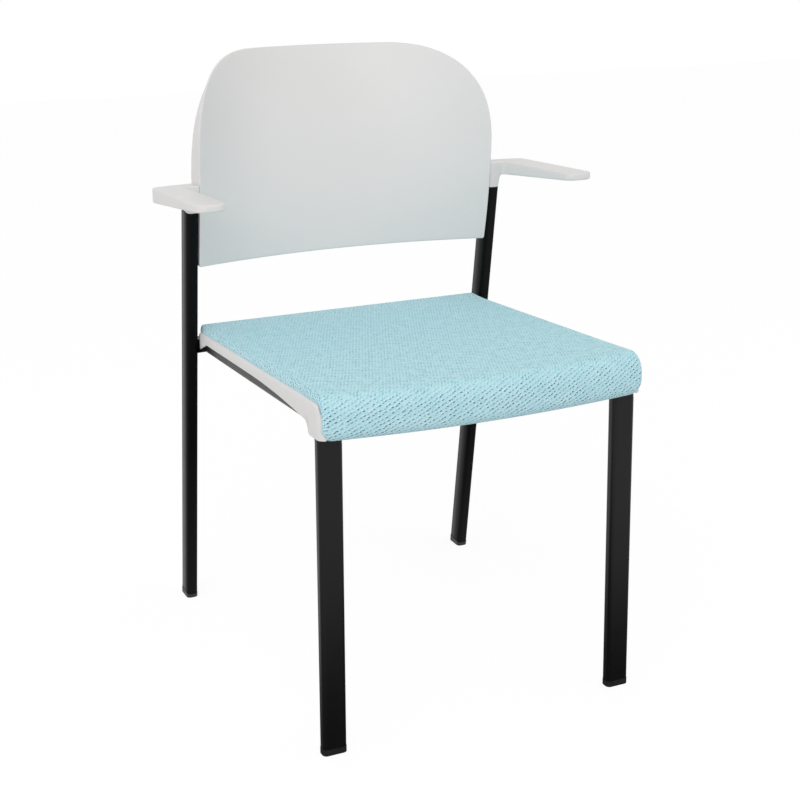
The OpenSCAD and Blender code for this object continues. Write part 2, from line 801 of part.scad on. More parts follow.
// Fillet between the arm's block and the underside of its pad
module arm_fillet() {
    low_slope = (arm_rise + arm_rear_t - arm_front_t) / arm_len;
    flat_w = tube_w - 2 * tube_corner;
    front = arm_rear_y - upright_y(arm_rear_h - arm_rear_t) + flat_w / 2;
    translate([upright_out_x, arm_rear_y, arm_rear_h - arm_rear_t])
        rotate([-atan(low_slope), 0, 0])
            difference() {
                translate([-over, -front, -arm_fillet_r])
                    cube([arm_fillet_r + over, flat_w, arm_fillet_r + over]);
                translate([arm_fillet_r, -front - over, -arm_fillet_r])
                    rotate([-90, 0, 0])
                        cylinder(r = arm_fillet_r, h = flat_w + 2 * over, $fn = round_sides);
            }
}

// Plan of the right arm's pad, with its slanting rear edge
module arm_plan() {
    front_y = arm_rear_y - arm_len;
    axis_y = upright_y(arm_rear_h);
    translate([arm_in_x, front_y + arm_front_r])
        square([arm_w, arm_len - arm_front_r - arm_rear_r]);
    translate([arm_in_x + arm_front_r, front_y])
        square([arm_w - 2 * arm_front_r, arm_len]);
    for (x = [arm_in_x + arm_front_r, arm_out_x - arm_front_r])
        translate([x, front_y + arm_front_r])
            circle(arm_front_r, $fn = round_sides);
    translate([arm_out_x - arm_rear_r, arm_rear_y - arm_rear_r])
        circle(arm_rear_r, $fn = round_sides);
    translate([arm_out_x - arm_front_r - over, arm_rear_y - 2 * arm_rear_r])
        square([arm_front_r + over - arm_rear_r, 2 * arm_rear_r]);
    polygon([[upright_x, axis_y], [arm_in_x + over, axis_y], [arm_out_x - arm_rear_r, arm_rear_y],
        [upright_out_x - tube_corner, axis_y + tube_w / 2], [upright_x, axis_y + tube_w / 2]]);
}

// Section of the arm's neck, which leans with the upright and runs into the pad in a hollow corner
module arm_neck() {
    pad_x = tube_t / 2 + arm_gap;
    translate([0, -tube_w / 2])
        square([pad_x + over, tube_w / 2]);
    difference() {
        translate([pad_x - arm_inner_r, -tube_w / 2 - arm_inner_r])
            square([arm_inner_r + over, arm_inner_r + over]);
        translate([pad_x - arm_inner_r, -tube_w / 2 - arm_inner_r])
            circle(arm_inner_r, $fn = round_sides);
    }
}

// Right arm: a pad, a neck and a block that plugs into the upright, drilled for the upper rivet nut
module arm() {
    difference() {
        union() {
            intersection() {
                union() {
                    linear_extrude(2 * arm_rear_h)
                        arm_plan();
                    on_upright()
                        translate([0, 0, upright_len])
                            linear_extrude(arm_rear_t + tube_w)
                                arm_neck();
                }
                arm_side(false);
            }
            intersection() {
                on_upright()
                    translate([0, 0, upright_len])
                        linear_extrude(arm_rear_t + tube_w)
                            rotate(90)
                                tube_section();
                arm_side(true);
            }
            arm_fillet();
            on_upright()
                translate([0, 0, upright_len - spigot_len])
                    linear_extrude(spigot_len + arm_rear_t / 2)
                        rotate(90)
                            tube_section(tube_wall + slip);
        }
        at_arm_screw()
            translate([0, 0, -arm_screw_len - over])
                cylinder(d = arm_screw_d + 2 * slip, h = arm_screw_len + 2 * over, $fn = round_sides);
        at_back_screws()
            translate([0, 0, -tube_t / 2])
                cylinder(d = nut_d + 2 * slip, h = tube_t, $fn = round_sides);
    }
}

// Screws that hold the arms in the uprights, from the rear
module arm_screws() {
    for (side = [0, 1])
        mirror([side, 0, 0])
            at_arm_screw()
                mirror([0, 0, 1])
                    screw(arm_screw_d, arm_screw_len, arm_head_d, arm_head_t);
}

// Foot glide: a pad under the tube and a plug in it, z along the tube
module glide() {
    translate([0, 0, -glide_h])
        linear_extrude(2 * glide_h)
            oval(tube_w + 2 * glide_flange, tube_t + 2 * glide_flange, tube_corner + glide_flange);
    translate([0, 0, glide_h])
        linear_extrude(glide_plug_len)
            tube_section(tube_wall + slip);
}

// Takes away what lies under the floor
module stood() {
    difference() {
        children();
        translate([0, -leg_foot_y - tube_w, -2 * glide_h])
            cube([upright_out_x + tube_w, 2 * leg_foot_y + 2 * tube_w, 2 * glide_h]);
    }
}

module glide_front() {
    stood()
        splayed()
            translate([0, -leg_foot_y, 0])
                rotate([-leg_rake, 0, 0])
                    glide();
}

module glide_rear() {
    stood()
        on_upright()
            rotate(90)
                glide();
}

color("#141416") mirror([1, 0, 0]) side_frame();  // side_frame_left
color("#141416") side_frame();  // side_frame_right
color("#141416") mirror([1, 0, 0]) upright();  // upright_left
color("#141416") upright();  // upright_right
color("#18181a") mirror([1, 0, 0]) bracket();  // bracket_left
color("#18181a") bracket();  // bracket_right
color("#141416") crossbar(seat_front_y + front_crossbar_inset);  // front_crossbar
color("#141416") crossbar(seat_rear_y - rear_crossbar_inset);  // rear_crossbar
color("#0c0c0d") rail_caps();
color("#18181a") mount_tabs();
color("#e4e5e8") seat_tray();
color("#c9a878") seat_board();
color("#efe3b4") seat_foam();
color("#a9d6df") seat_cover();
color("#b9bcc0") seat_screws();
color("#b9bcc0") seat_tee_nuts();
color("#dcdde0") back_panel();
color("#b9bcc0") back_rivet_nuts();
color("#b9bcc0") back_screws();
color("#dcdde0") mirror([1, 0, 0]) arm();  // arm_left
color("#dcdde0") arm();  // arm_right
color("#b9bcc0") arm_screws();
color("#0c0c0d") mirror([1, 0, 0]) glide_front();  // glide_front_left
color("#0c0c0d") glide_front();  // glide_front_right
color("#0c0c0d") mirror([1, 0, 0]) glide_rear();  // glide_rear_left
color("#0c0c0d") glide_rear();  // glide_rear_right
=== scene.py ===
# %% [markdown]
# A four-legged armchair: black steel tube, white moulded shells, a woven seat.
# The frame, the tray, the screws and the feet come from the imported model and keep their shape.
# The cushion, the back and the arms are new surfaces, because soft and moulded forms need finer curves.

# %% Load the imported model
import json
import math

import bmesh
import bpy
import numpy as np
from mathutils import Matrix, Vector


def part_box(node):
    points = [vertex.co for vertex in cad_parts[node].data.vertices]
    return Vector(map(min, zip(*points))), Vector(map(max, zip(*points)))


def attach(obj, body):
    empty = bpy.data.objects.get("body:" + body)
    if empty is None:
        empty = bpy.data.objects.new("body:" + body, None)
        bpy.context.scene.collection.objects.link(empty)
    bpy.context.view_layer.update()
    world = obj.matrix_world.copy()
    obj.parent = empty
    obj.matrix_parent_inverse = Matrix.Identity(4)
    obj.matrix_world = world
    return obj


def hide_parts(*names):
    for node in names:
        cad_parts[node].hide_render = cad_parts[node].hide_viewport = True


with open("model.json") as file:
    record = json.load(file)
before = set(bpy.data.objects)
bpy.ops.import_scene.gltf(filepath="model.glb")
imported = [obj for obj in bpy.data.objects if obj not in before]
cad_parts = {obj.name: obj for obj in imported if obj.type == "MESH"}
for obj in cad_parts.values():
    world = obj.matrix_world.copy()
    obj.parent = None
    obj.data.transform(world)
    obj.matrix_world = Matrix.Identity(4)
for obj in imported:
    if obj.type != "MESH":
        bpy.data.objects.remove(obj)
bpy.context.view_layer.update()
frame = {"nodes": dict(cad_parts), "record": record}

# %% [markdown]
# The chair is drawn in millimetres on paper, and Blender works in metres, so sizes carry a unit.
# Two directions rule the chair: the seat rails rise to the front, and the uprights lean forward.

# %% Sizes that the pieces share
MM = 0.001
rail_pitch = math.radians(2.88)
upright_lean = math.radians(8.01)
rail_h = 417.9 * MM
tube_w, tube_t, tube_corner = 31.5 * MM, 16 * MM, 5.5 * MM
deck_h = rail_h + tube_t / 2 / math.cos(rail_pitch)
upright_foot_y = 251.9 * MM
upright_low, upright_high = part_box("upright_right")
upright_in_x, upright_out_x = upright_low[0], upright_high[0]
upright_x = (upright_in_x + upright_out_x) / 2


def upright_y(z):
    """Depth of an upright's centre line at a height: it leans forward as it rises."""
    return upright_foot_y - z * math.tan(upright_lean)


print("uprights at x", round(upright_x / MM, 1), "mm")

# %% [markdown]
# Every new surface is a grid of points worked out with numpy. A grid becomes a mesh of four-sided
# faces, and a few short helpers hold all that is the same for each piece.

# %% Helpers for grids and meshes
def side_by_side(*values):
    """Arrays and numbers as the columns of one array, such as the coordinates of points."""
    return np.stack(np.broadcast_arrays(*values), axis=-1)


def quads(rows, columns, start=0, closed=False):
    """Faces of a grid, where point (i, j) has the number start + i * columns + j.
    A closed grid joins its last column to its first."""
    across = columns if closed else columns - 1
    i, j = np.meshgrid(np.arange(rows - 1), np.arange(across), indexing="ij")
    a, b = i * columns + j, i * columns + (j + 1) % columns
    return start + side_by_side(a, b, b + columns, a + columns).reshape(-1, 4)


def add_object(name, data):
    """A new object in the scene, at the origin."""
    made = bpy.data.objects.new(name, data)
    bpy.context.scene.collection.objects.link(made)
    return made


def make_piece(name, grids, faces, finish, stands_for):
    """A mesh of one or more grids, with smooth shading, that rides on the chair's one body."""
    mesh = bpy.data.meshes.new(name)
    points = np.concatenate([grid.reshape(-1, 3) for grid in grids])
    mesh.from_pydata(points.tolist(), [], [list(map(int, f)) for f in faces])
    mesh.validate()
    mesh.polygons.foreach_set("use_smooth", np.ones(len(mesh.polygons), dtype=bool))
    mesh.materials.append(finish)
    piece = add_object(name, mesh)
    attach(piece, "root")
    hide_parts(*stands_for)
    print(name, len(mesh.vertices), "points,", len(mesh.polygons), "faces")
    return piece


def weld(piece, distance=0.02 * MM):
    """Joins points that lie on each other, as they do where a sharp inner corner is drawn in."""
    work = bmesh.new()
    work.from_mesh(piece.data)
    bmesh.ops.remove_doubles(work, verts=work.verts, dist=distance)
    work.to_mesh(piece.data)
    work.free()


def run_length(line):
    """Length along a line from its start to each of its points."""
    return np.concatenate([[0], np.cumsum(np.linalg.norm(np.diff(line, axis=0), axis=1))])


def even(outline, count):
    """The same closed outline with its points evenly spaced: each coordinate is read off at
    equal steps of the running length."""
    line = np.vstack([outline, outline[:1]])
    run = run_length(line)
    marks = np.linspace(0, run[-1], count, endpoint=False)
    return side_by_side(*[np.interp(marks, run, column) for column in line.T])


def mirrored(line):
    """A line that ends on the middle plane, carried on by its mirror image."""
    return np.vstack([line, line[-2::-1] * [-1, 1]])


def inward(outline):
    """Unit normals of a closed outline, walked anticlockwise, that point to its inside."""
    run = np.roll(outline, -1, axis=0) - np.roll(outline, 1, axis=0)
    run /= np.linalg.norm(run, axis=1, keepdims=True)
    return side_by_side(-run[:, 1], run[:, 0])


def ringed(rings, start=0):
    """Faces of closed rings with flat ends."""
    rows, columns = rings.shape[:2]
    first = start + np.arange(columns)[::-1]
    last = start + (rows - 1) * columns + np.arange(columns)
    return [*quads(rows, columns, start, closed=True), first, last]


def quarter(count):
    """Pairs of sine and cosine of evenly spaced angles from 0 to 90 degrees."""
    a = np.radians(np.linspace(0, 90, count))
    return side_by_side(np.sin(a), np.cos(a))


def arc(centre, radius, first, last, count=9):
    """Points of a round corner: centre plus radius times cosine and sine of the angle."""
    a = np.radians(np.linspace(first, last, count))
    return side_by_side(centre[0] + radius * np.cos(a), centre[1] + radius * np.sin(a))


# %% [markdown]
# A material is a small tree of nodes. What a node gives out is a field here: a value that varies
# over the surface. Fields add and multiply like numbers, and each such step becomes one math
# node, so a pattern is written as its formula.

# %% Helpers for materials
class Field:
    """A node's output, which joins with numbers and with other fields."""

    def __init__(self, socket):
        self.socket, self.tree = socket, socket.id_data

    def __add__(self, other):
        return maths("ADD", self, other)

    def __sub__(self, other):
        return maths("SUBTRACT", self, other)

    def __mul__(self, other):
        return maths("MULTIPLY", self, other)

    def __truediv__(self, other):
        return maths("DIVIDE", self, other)


def plug(socket, value):
    """Sets a socket to a number or colour, or links a field to it."""
    if isinstance(value, Field):
        value.tree.links.new(value.socket, socket)
    else:
        socket.default_value = value


def feed(made, **inputs):
    """Plugs values into the inputs of a node by name, where a low line stands for a space."""
    for name, value in inputs.items():
        plug(made.inputs[name.replace("_", " ")], value)


def node(tree, kind, **inputs):
    """A new node of a kind, with its inputs fed."""
    made = tree.nodes.new("ShaderNode" + kind)
    feed(made, **inputs)
    return made


def maths(operation, first, *others):
    """One math node, whose first value is a field."""
    made = node(first.tree, "Math")
    made.operation = operation
    for socket, value in zip(made.inputs, (first, *others)):
        plug(socket, value)
    return Field(made.outputs[0])


def axes(place):
    """The x, y and z of a place."""
    return [Field(out) for out in node(place.tree, "SeparateXYZ", Vector=place).outputs]


def noise(place, scale, detail=2.0, roughness=0.5):
    """A soft random value between 0 and 1 that varies over about one part in scale of a metre."""
    made = node(place.tree, "TexNoise", Vector=place, Scale=scale, Detail=detail, Roughness=roughness)
    return Field(made.outputs["Fac"])


def between(share, low, high):
    """A number that goes from low to high as share goes from 0 to 1."""
    return Field(node(share.tree, "MapRange", Value=share, To_Min=low, To_Max=high).outputs["Result"])


def smooth(value, low, high):
    """One at or under low, nothing at or over high, and a soft step between."""
    made = node(value.tree, "MapRange", Value=value, From_Min=low, From_Max=high, To_Min=1.0, To_Max=0.0)
    made.interpolation_type = "SMOOTHSTEP"
    return Field(made.outputs["Result"])


def blend_colours(share, first, second):
    """A colour that goes from the first to the second as share goes from 0 to 1."""
    made = node(share.tree, "Mix")
    made.data_type = "RGBA"
    feed(made, Factor=share, A=first, B=second)
    return Field(made.outputs["Result"])


def object_place(tree):
    """Place on the object, in metres."""
    return Field(node(tree, "TexCoord").outputs["Object"])


def add_bump(shader, height, depth, strength=1.0, **under):
    """Raises the surface by a height map; depth is how far its white stands over its black."""
    made = node(height.tree, "Bump", Strength=strength, Distance=depth, Height=height, **under)
    bent = Field(made.outputs["Normal"])
    feed(shader, Normal=bent)
    return bent


def material(name):
    """A new material, its node tree and its main shader."""
    made = bpy.data.materials.new(name)
    made.use_nodes = True
    return made, made.node_tree, made.node_tree.nodes["Principled BSDF"]


def grey(value, tint=0.0):
    """A near-grey colour in linear light, a little bluer by tint, or warmer where it is negative."""
    return (value, value * (1 + tint / 2), value * (1 + tint), 1.0)


# %% [markdown]
# Powder coat is sprayed dry and baked, and it flows into a skin with a faint orange peel.
# It is black and glossy but never a mirror, so the roughness wanders a little and a low bump
# breaks up the highlights. The uprights look a shade duller than the front legs, and their wide
# sides are faintly rounded, which draws a bright line down the edge that turns from the eye. A
# wide smooth bump bends the light there as the rounding does.

# %% Black powder coat
leg_gloss, upright_gloss = 0.26, 0.1
coat_black, coat_roughness = (grey(0.0022), grey(0.004)), (0.26, 0.36)
peel_scale, peel_depth, peel_strength = 520, 0.05 * MM, 0.35
side_rounding = 14.0


def rounded_side(place):
    """Height of an upright's wide side: it falls by side_rounding, per metre, times the square of
    the distance from the tube's middle line, which leans as the upright does."""
    _, y, z = axes(place)
    off = (y - upright_foot_y) * math.cos(upright_lean) + z * math.sin(upright_lean)
    return off * off * -side_rounding


def powder_coat(name, gloss, rounded=False):
    """Clouded black with a wandering gloss, the rounded side where asked for, and orange peel."""
    made, tree, shader = material(name)
    place = object_place(tree)
    feed(shader,
         Base_Color=blend_colours(noise(place, 14, 3), *coat_black),
         Roughness=between(noise(place, 60, 4), *coat_roughness),
         Specular_IOR_Level=gloss)
    side = {"Normal": add_bump(shader, rounded_side(place), 1.0)} if rounded else {}
    add_bump(shader, noise(place, peel_scale), peel_depth, peel_strength, **side)
    return made


frame_finish = powder_coat("powder_coat_black", leg_gloss)
upright_finish = powder_coat("powder_coat_black_upright", upright_gloss, rounded=True)
print(frame_finish.name, upright_finish.name)

# %% [markdown]
# The shells are moulded in light grey-white polypropylene. The mould is spark-eroded, which
# leaves a grain finer than a millimetre: too small to see as dots, but it makes the gloss soft.
# Wide, very faint clouds keep the colour from looking like paint on a screen.

# %% White moulded plastic
shell_white, shell_roughness, shell_ior = (grey(0.775, -0.03), grey(0.81, -0.03)), (0.4, 0.5), 1.45
grain_scale, clump_scale, clump_share, grain_depth = 1500, 420, 0.6, 0.05 * MM


def moulded_plastic():
    """Clouded white with a fine grain, which clumps a little."""
    made, tree, shader = material("moulded_plastic_white")
    place = object_place(tree)
    feed(shader,
         Base_Color=blend_colours(noise(place, 5, 3), *shell_white),
         Roughness=between(noise(place, 90, 3), *shell_roughness),
         IOR=shell_ior)
    grain = noise(place, grain_scale) + noise(place, clump_scale) * clump_share
    add_bump(shader, grain, grain_depth, 0.3)
    return made


shell_finish = moulded_plastic()
print(shell_finish.name)

# %% [markdown]
# Feet and tube caps are plain black plastic, a touch greyer and duller than the tube, and the
# floor has scuffed them: noise gives them pale scratches.

# %% Black plastic, zinc and plywood
cap_black, cap_roughness = (grey(0.004), grey(0.03)), (0.45, 0.7)
zinc_grey, zinc_roughness = (grey(0.46, 0.04), grey(0.68, 0.02)), (0.28, 0.45)
wood_brown, wood_roughness = ((0.42, 0.27, 0.13, 1), (0.66, 0.47, 0.27, 1)), 0.62
ring_scale, ring_waver = 22, 7


def black_plastic():
    """Black with scuffs: noise to the third power, so that only its peaks turn pale and dull."""
    made, tree, shader = material("black_plastic")
    place = object_place(tree)
    scuff = maths("POWER", noise(place, 240, 5, 0.7), 3.0)
    feed(shader, Base_Color=blend_colours(scuff, *cap_black), Roughness=between(scuff, *cap_roughness))
    add_bump(shader, noise(place, 700, 3), 0.06 * MM, 0.3)
    return made


def zinc_steel():
    """Bare metal with a bloom that makes it paler and duller in spots."""
    made, tree, shader = material("zinc_steel")
    place = object_place(tree)
    bloom = noise(place, 160, 4, 0.6)
    feed(shader, Base_Color=blend_colours(bloom, *zinc_grey), Roughness=between(bloom, *zinc_roughness))
    feed(shader, Metallic=1.0)
    add_bump(shader, noise(place, 900), 0.03 * MM, 0.3)
    return made


def plywood():
    """The rings of a peeled log, as a wavering wave of two browns."""
    made, tree, shader = material("plywood")
    place = object_place(tree)
    rings = node(tree, "TexWave", Vector=place, Scale=ring_scale, Distortion=ring_waver, Detail=3)
    ring = Field(rings.outputs["Fac"])
    feed(shader, Base_Color=blend_colours(ring, *wood_brown), Roughness=wood_roughness)
    add_bump(shader, ring, 0.1 * MM, 0.3)
    return made


cap_finish = black_plastic()
zinc_finish = zinc_steel()
wood_finish = plywood()
print(cap_finish.name, zinc_finish.name, wood_finish.name)

# %% [markdown]
# The fabric is the chair's one lively surface: a weave of pale aqua yarn with small holes between
# the yarns, which show as short slanting flecks. It is a satin weave over eight yarns: each row
# has a fleck every eighth yarn, and the next row is moved on by three. Every fleck is moved,
# dimmed or deepened a little by chance. Where the cloth is pulled over the front roll and the
# side and rear edges, the holes open, and on the flat top they close, more in some patches than
# in others, and fine ribs show instead. The pattern lies on the cloth: it follows the cushion's
# own flat map, which is measured in metres along the cloth and turns over the front edge with it.
# The pale spot beside each fleck is a painted highlight, and the dark colour in each hole is painted
# shade.

# %% Flecks of the weave
yarn_step = 1.43 * MM
fleck_step, fleck_row, fleck_shift = 8 * yarn_step, 2.1 * MM, 3 / 8
fleck_side, fleck_up, fleck_slant = (-0.62, -0.38), (-0.68, -0.32), 1.8
fleck_half_w, fleck_half_h = 0.14, 0.36
fleck_edge, fleck_depth = (0.3, 1.4), (0.3, 1.15)


def flecks(across, along):
    """How strong a fleck is at a place on the cloth. A fleck is an oval in its cell: the squares of
    its two offsets, each over its half axis, add up to less than one inside it."""
    row = along / fleck_row
    row_number = maths("FLOOR", row)
    cell = across / fleck_step + row_number * fleck_shift
    number = node(row.tree, "CombineXYZ", X=maths("FLOOR", cell), Y=row_number)
    chance = node(row.tree, "TexWhiteNoise")
    chance.noise_dimensions = "2D"
    feed(chance, Vector=Field(number.outputs["Vector"]))
    picks = node(row.tree, "SeparateColor", Color=Field(chance.outputs["Color"]))
    red, green, blue = [Field(out) for out in picks.outputs]
    side = maths("FRACT", cell) + between(red, *fleck_side)
    up = maths("FRACT", row) + between(green, *fleck_up) + side * fleck_slant
    wide, high = side / fleck_half_w, up / fleck_half_h
    return smooth(wide * wide + high * high, *fleck_edge) * between(blue, *fleck_depth)


# %% Ribs and flat places of the weave
rib_step, rib_slant, rib_bead = 3 * yarn_step, 0.45, 7 * fleck_row
rib_share, bead_share, rib_middle, rib_stray = 0.3, 0.1, 0.34, 6.0 * MM
roll_start, roll_fade = 455 * MM, 22 * MM
side_start, side_fade = 206 * MM, 5 * MM
rear_start, rear_end, rear_flatness = 30 * MM, 90 * MM, 0.45


def wave(place, step):
    """The sine of a place, once round in each step."""
    return maths("SINE", place * (2 * math.pi / step))


def flatness(x, y):
    """One on the flat top, nothing over the front roll and at the side edges, and less than one
    along the rear edge."""
    top = smooth(y, roll_start, roll_start + roll_fade)
    inside = smooth(maths("ABSOLUTE", x), side_start, side_start + side_fade)
    return top * inside * between(smooth(y, rear_start, rear_end), 1.0, rear_flatness)


def ribs(cloth, x, y):
    """How dark the slanting ribs are: one wave across them and a weaker one along them. Noise
    makes them stray."""
    stray = (noise(cloth, 230, 3, 0.65) - 0.5) * rib_stray
    rib = wave(y * rib_slant + x + stray, rib_step)
    bead = wave(y - x * rib_slant, rib_bead)
    return rib * rib_share + bead * bead_share + rib_middle


# %% Woven fabric
# The last colour in this line is painted light: the flat top is blended towards it.
yarn_pale, painted_light_top_colour = ((0.52, 0.81, 0.90, 1), (0.63, 0.89, 0.96, 1)), (0.70, 0.96, 1.0, 1)
# The last two colours are painted light and shade: a highlight beside each fleck and the shade in its
# hole.
yarn_shaded, painted_highlight_colour, painted_hole_shade = (0.17, 0.56, 0.65, 1), (0.78, 0.97, 1.0, 1), (0.03, 0.11, 0.15, 1)
yarn_share, speck_share, weave_depth = 0.14, 0.22, 0.4 * MM
painted_highlight_beside, painted_highlight_before = 1.6 * MM, 1.1 * MM


def woven_fabric():
    """Pale yarn, paler on the flat top by painted light, shaded by ribs, yarns and specks, with a
    painted highlight beside each fleck and painted shade in its hole.
    """
    made, tree, shader = material("woven_fabric_aqua")
    flat_map = node(tree, "UVMap")
    flat_map.uv_map = "weave"
    cloth = Field(flat_map.outputs["UV"])
    x, y, _ = axes(cloth)
    shift = (noise(cloth, 120, 3) - 0.5) * (2.6 * MM)
    across, along = x + shift, y + shift * 0.6
    flat = flatness(x, y)
    patch = smooth(noise(cloth, 90, 3, 0.7), 0.62, 0.38)
    opened = between(flat, 1.0, between(patch, 0.22, 0.5))
    # Painted shade: each fleck's hole is darkened towards a near-black teal.
    dark = flecks(across, along) * opened
    # A painted highlight: a pale spot drawn beside each fleck, where light catches its rim.
    light = flecks(across + painted_highlight_beside, along + painted_highlight_before) * opened
    yarn = wave(across, yarn_step) * wave(along, 2 * fleck_row) * 0.5 + 0.5
    cloud = smooth(noise(cloth, 45, 4, 0.7), 0.68, 0.32)
    speck = smooth(noise(cloth, 620, 2, 0.7), 0.62, 0.38)
    # Painted light and shade: the flat top turns paler, most towards the front and least near the rear
    # edge.
    painted_top_light_share = flat * between(smooth(y, 120 * MM, 440 * MM), 0.75, 0.3)
    pale = blend_colours(painted_top_light_share, blend_colours(cloud, *yarn_pale), painted_light_top_colour)
    ribbed = ribs(cloth, x, y) * between(patch, 0.25, 1.15) * between(flat, 0.05, 0.75)
    colour = blend_colours(yarn * yarn_share + ribbed + speck * speck_share, pale, yarn_shaded)
    colour = blend_colours(light, colour, painted_highlight_colour)
    feed(shader, Base_Color=blend_colours(dark, colour, painted_hole_shade), Roughness=0.85, IOR=1.3)
    feed(shader, Sheen_Weight=0.12, Sheen_Roughness=0.5)
    add_bump(shader, yarn * 0.35 + light - dark, weave_depth, 0.5)
    return made


seat_finish = woven_fabric()
print(seat_finish.name)

# %% [markdown]
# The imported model's own pieces keep their meshes. Their finish goes into their material slots.

# %% Dress the pieces that stay
finishes = {
    "frame_black": frame_finish,
    "cap_black": cap_finish,
    "shell_white": shell_finish,
    "plywood": wood_finish,
    "foam": seat_finish,
    "seat_fabric": seat_finish,
    "zinc_steel": zinc_finish,
}
for part in frame["record"]["subparts"]:
    is_upright = part["node"].startswith("upright_")
    finish = upright_finish if is_upright else finishes[part["material_slot"]]
    for place in frame["nodes"][part["node"]].material_slots:
        place.material = finish
print("dressed", len(frame["nodes"]), "nodes")

# %% [markdown]
# The cushion is foam on a board under one taut cloth. Its top is nearly flat, its front rolls
# over in a 24 mm curve, drops a little and tucks under the tray, and its front edge bows forward
# between the corners. The sides stand only a little over the tray's lip. The form is a profile
# from the rear edge to the hem, carried across the seat while the bow and the rounding at the
# sides change it.

# %% Profile of the cushion
seat_rear_y = upright_y(rail_h) - 6.1 * MM
seat_depth, seat_bow = 475 * MM, 19.5 * MM
seat_front_y = seat_rear_y - seat_depth + seat_bow
nose_r, nose_flat, nose_low_r = 24 * MM, 13.5 * MM, 18 * MM
nose_y = seat_front_y + nose_r
lift_rear, lift_front, rear_lip = 17.6 * MM, 23.9 * MM, 2.9 * MM
rear_edge_r, rear_lip_share = 5 * MM, 0.12
skirt, skirt_in, climb_start = 4 * MM, 4 * MM, 0.8
nose_h = lift_front - nose_r
tray_front_y = seat_front_y + 8.7 * MM
tray_front_h, tray_corner_r = 14 * MM, 14 * MM
cloth_gap = -1.5 * MM
board_lift, board_in, board_edge_r = 9.6 * MM, 5 * MM, 5 * MM
wall_front_y = seat_front_y + 7.2 * MM
wall_foot_h, wall_foot_in, wall_sink = -25.8 * MM, 4 * MM, 0.6
wall_drop, wall_knee = 0.7, 0.75
cell_size = 4.8 * MM


def steps(length):
    """How many steps of about one cell a length takes."""
    return max(2, int(round(length / cell_size)))


def join(*parts):
    """One line of points from parts that are given as depth and height."""
    return np.concatenate([side_by_side(*part) for part in parts])


def cushion_lines():
    """Three lines in step, from the rear hem over the top to the front hem, as depth and height
    over the rails: the cloth's outer line, the line where its side meets the tray, and the line
    that the pad rests on. The fourth array is the share of the bow that a point follows."""
    rear_top = lift_rear + rear_lip - rear_edge_r
    n_rear, n_edge, n_top = 3, 4, steps(seat_rear_y - nose_y)
    n_nose, n_flat, n_low = steps(nose_r * math.pi / 2), 3, 5
    rise = np.linspace(skirt, rear_top, n_rear, endpoint=False)
    turn = np.radians(np.linspace(0, 90, n_edge, endpoint=False))
    share = np.linspace(rear_edge_r / (seat_rear_y - nose_y), 1, n_top, endpoint=False)
    roll = np.radians(np.linspace(90, 180, n_nose, endpoint=False))
    drop = np.linspace(0, nose_flat, n_flat, endpoint=False)
    tuck = np.radians(np.linspace(180, 255, n_low))
    top_y = seat_rear_y + (nose_y - seat_rear_y) * share
    lip = rear_lip * np.clip(1 - share / rear_lip_share, 0, 1) ** 2
    top_h = lift_rear + (lift_front - lift_rear) * share + lip
    low_h = nose_h - nose_flat + nose_low_r * np.sin(tuck)
    outer = join(
        (seat_rear_y, rise),
        (seat_rear_y - rear_edge_r + rear_edge_r * np.cos(turn), rear_top + rear_edge_r * np.sin(turn)),
        (top_y, top_h),
        (nose_y + nose_r * np.cos(roll), nose_h + nose_r * np.sin(roll)),
        (seat_front_y, nose_h - drop),
        (seat_front_y + nose_low_r + nose_low_r * np.cos(tuck), low_h))
    cloth_r, cloth_y = tray_corner_r + cloth_gap, tray_front_y - cloth_gap
    cloth_top = tray_front_h + cloth_gap
    climb = np.clip((share - climb_start) / (1 - climb_start), 0, 1)
    creep = 1 * MM * np.arange(n_edge) / n_edge
    side = join(
        (seat_rear_y - skirt_in, skirt + 0 * rise),
        (seat_rear_y - skirt_in - creep, skirt + 0 * turn),
        (top_y, skirt + (cloth_top - skirt) * climb),
        (cloth_y + cloth_r + cloth_r * np.cos(roll), cloth_top - cloth_r + cloth_r * np.sin(roll)),
        (cloth_y, nose_h - drop),
        (cloth_y, low_h))
    wall_top = board_lift - board_edge_r
    sink = np.linspace(0, 1, n_low)
    foot_in = wall_foot_in * np.clip(sink - wall_sink, 0, 1) / (1 - wall_sink)
    foot_h = wall_foot_h * (wall_knee + (1 - wall_knee) * np.clip(sink / wall_sink, 0, 1))
    rest = join(
        (seat_rear_y - board_in, board_lift + 0 * rise),
        (seat_rear_y - board_in - creep, board_lift + 0 * turn),
        (top_y, board_lift + 0 * top_y),
        (wall_front_y + board_edge_r * (1 + np.cos(roll)), wall_top + board_edge_r * np.sin(roll)),
        (wall_front_y, wall_top + (wall_foot_h - wall_top) * wall_drop * drop / nose_flat),
        (wall_front_y + foot_in, foot_h))
    rear, front = np.zeros(n_rear + n_edge), np.ones(n_nose + n_flat + n_low)
    bow, depth = np.concatenate([rear, share ** 2, front]), np.concatenate([rear, share, front])
    low_rows = np.concatenate([np.zeros(len(bow) - n_low), np.linspace(0.25, 1, n_low)])
    return outer, side, rest, bow, depth, low_rows


outer_line, side_line, rest_line, bow_share, depth_share, low_share = cushion_lines()
print("cushion profile of", len(outer_line), "points")

# %% [markdown]
# Across the seat, the middle stations lie on the full profile, and the last few millimetres
# come down in a superellipse, which is squarer than a circle as taut cloth over foam is.

# %% Form of the cushion
seat_half_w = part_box("seat_cover")[1][0] + 0.7 * MM
nose_spread, nose_start, nose_power, side_hold = 1.0 * MM, 0.9, 8, 1.6
edge_share, edge_power, edge_points = 0.03, 3.7, 9
corner_reach, corner_rise = 9 * MM, 13 * MM
crown, under_in = 1.2 * MM, 5 * MM


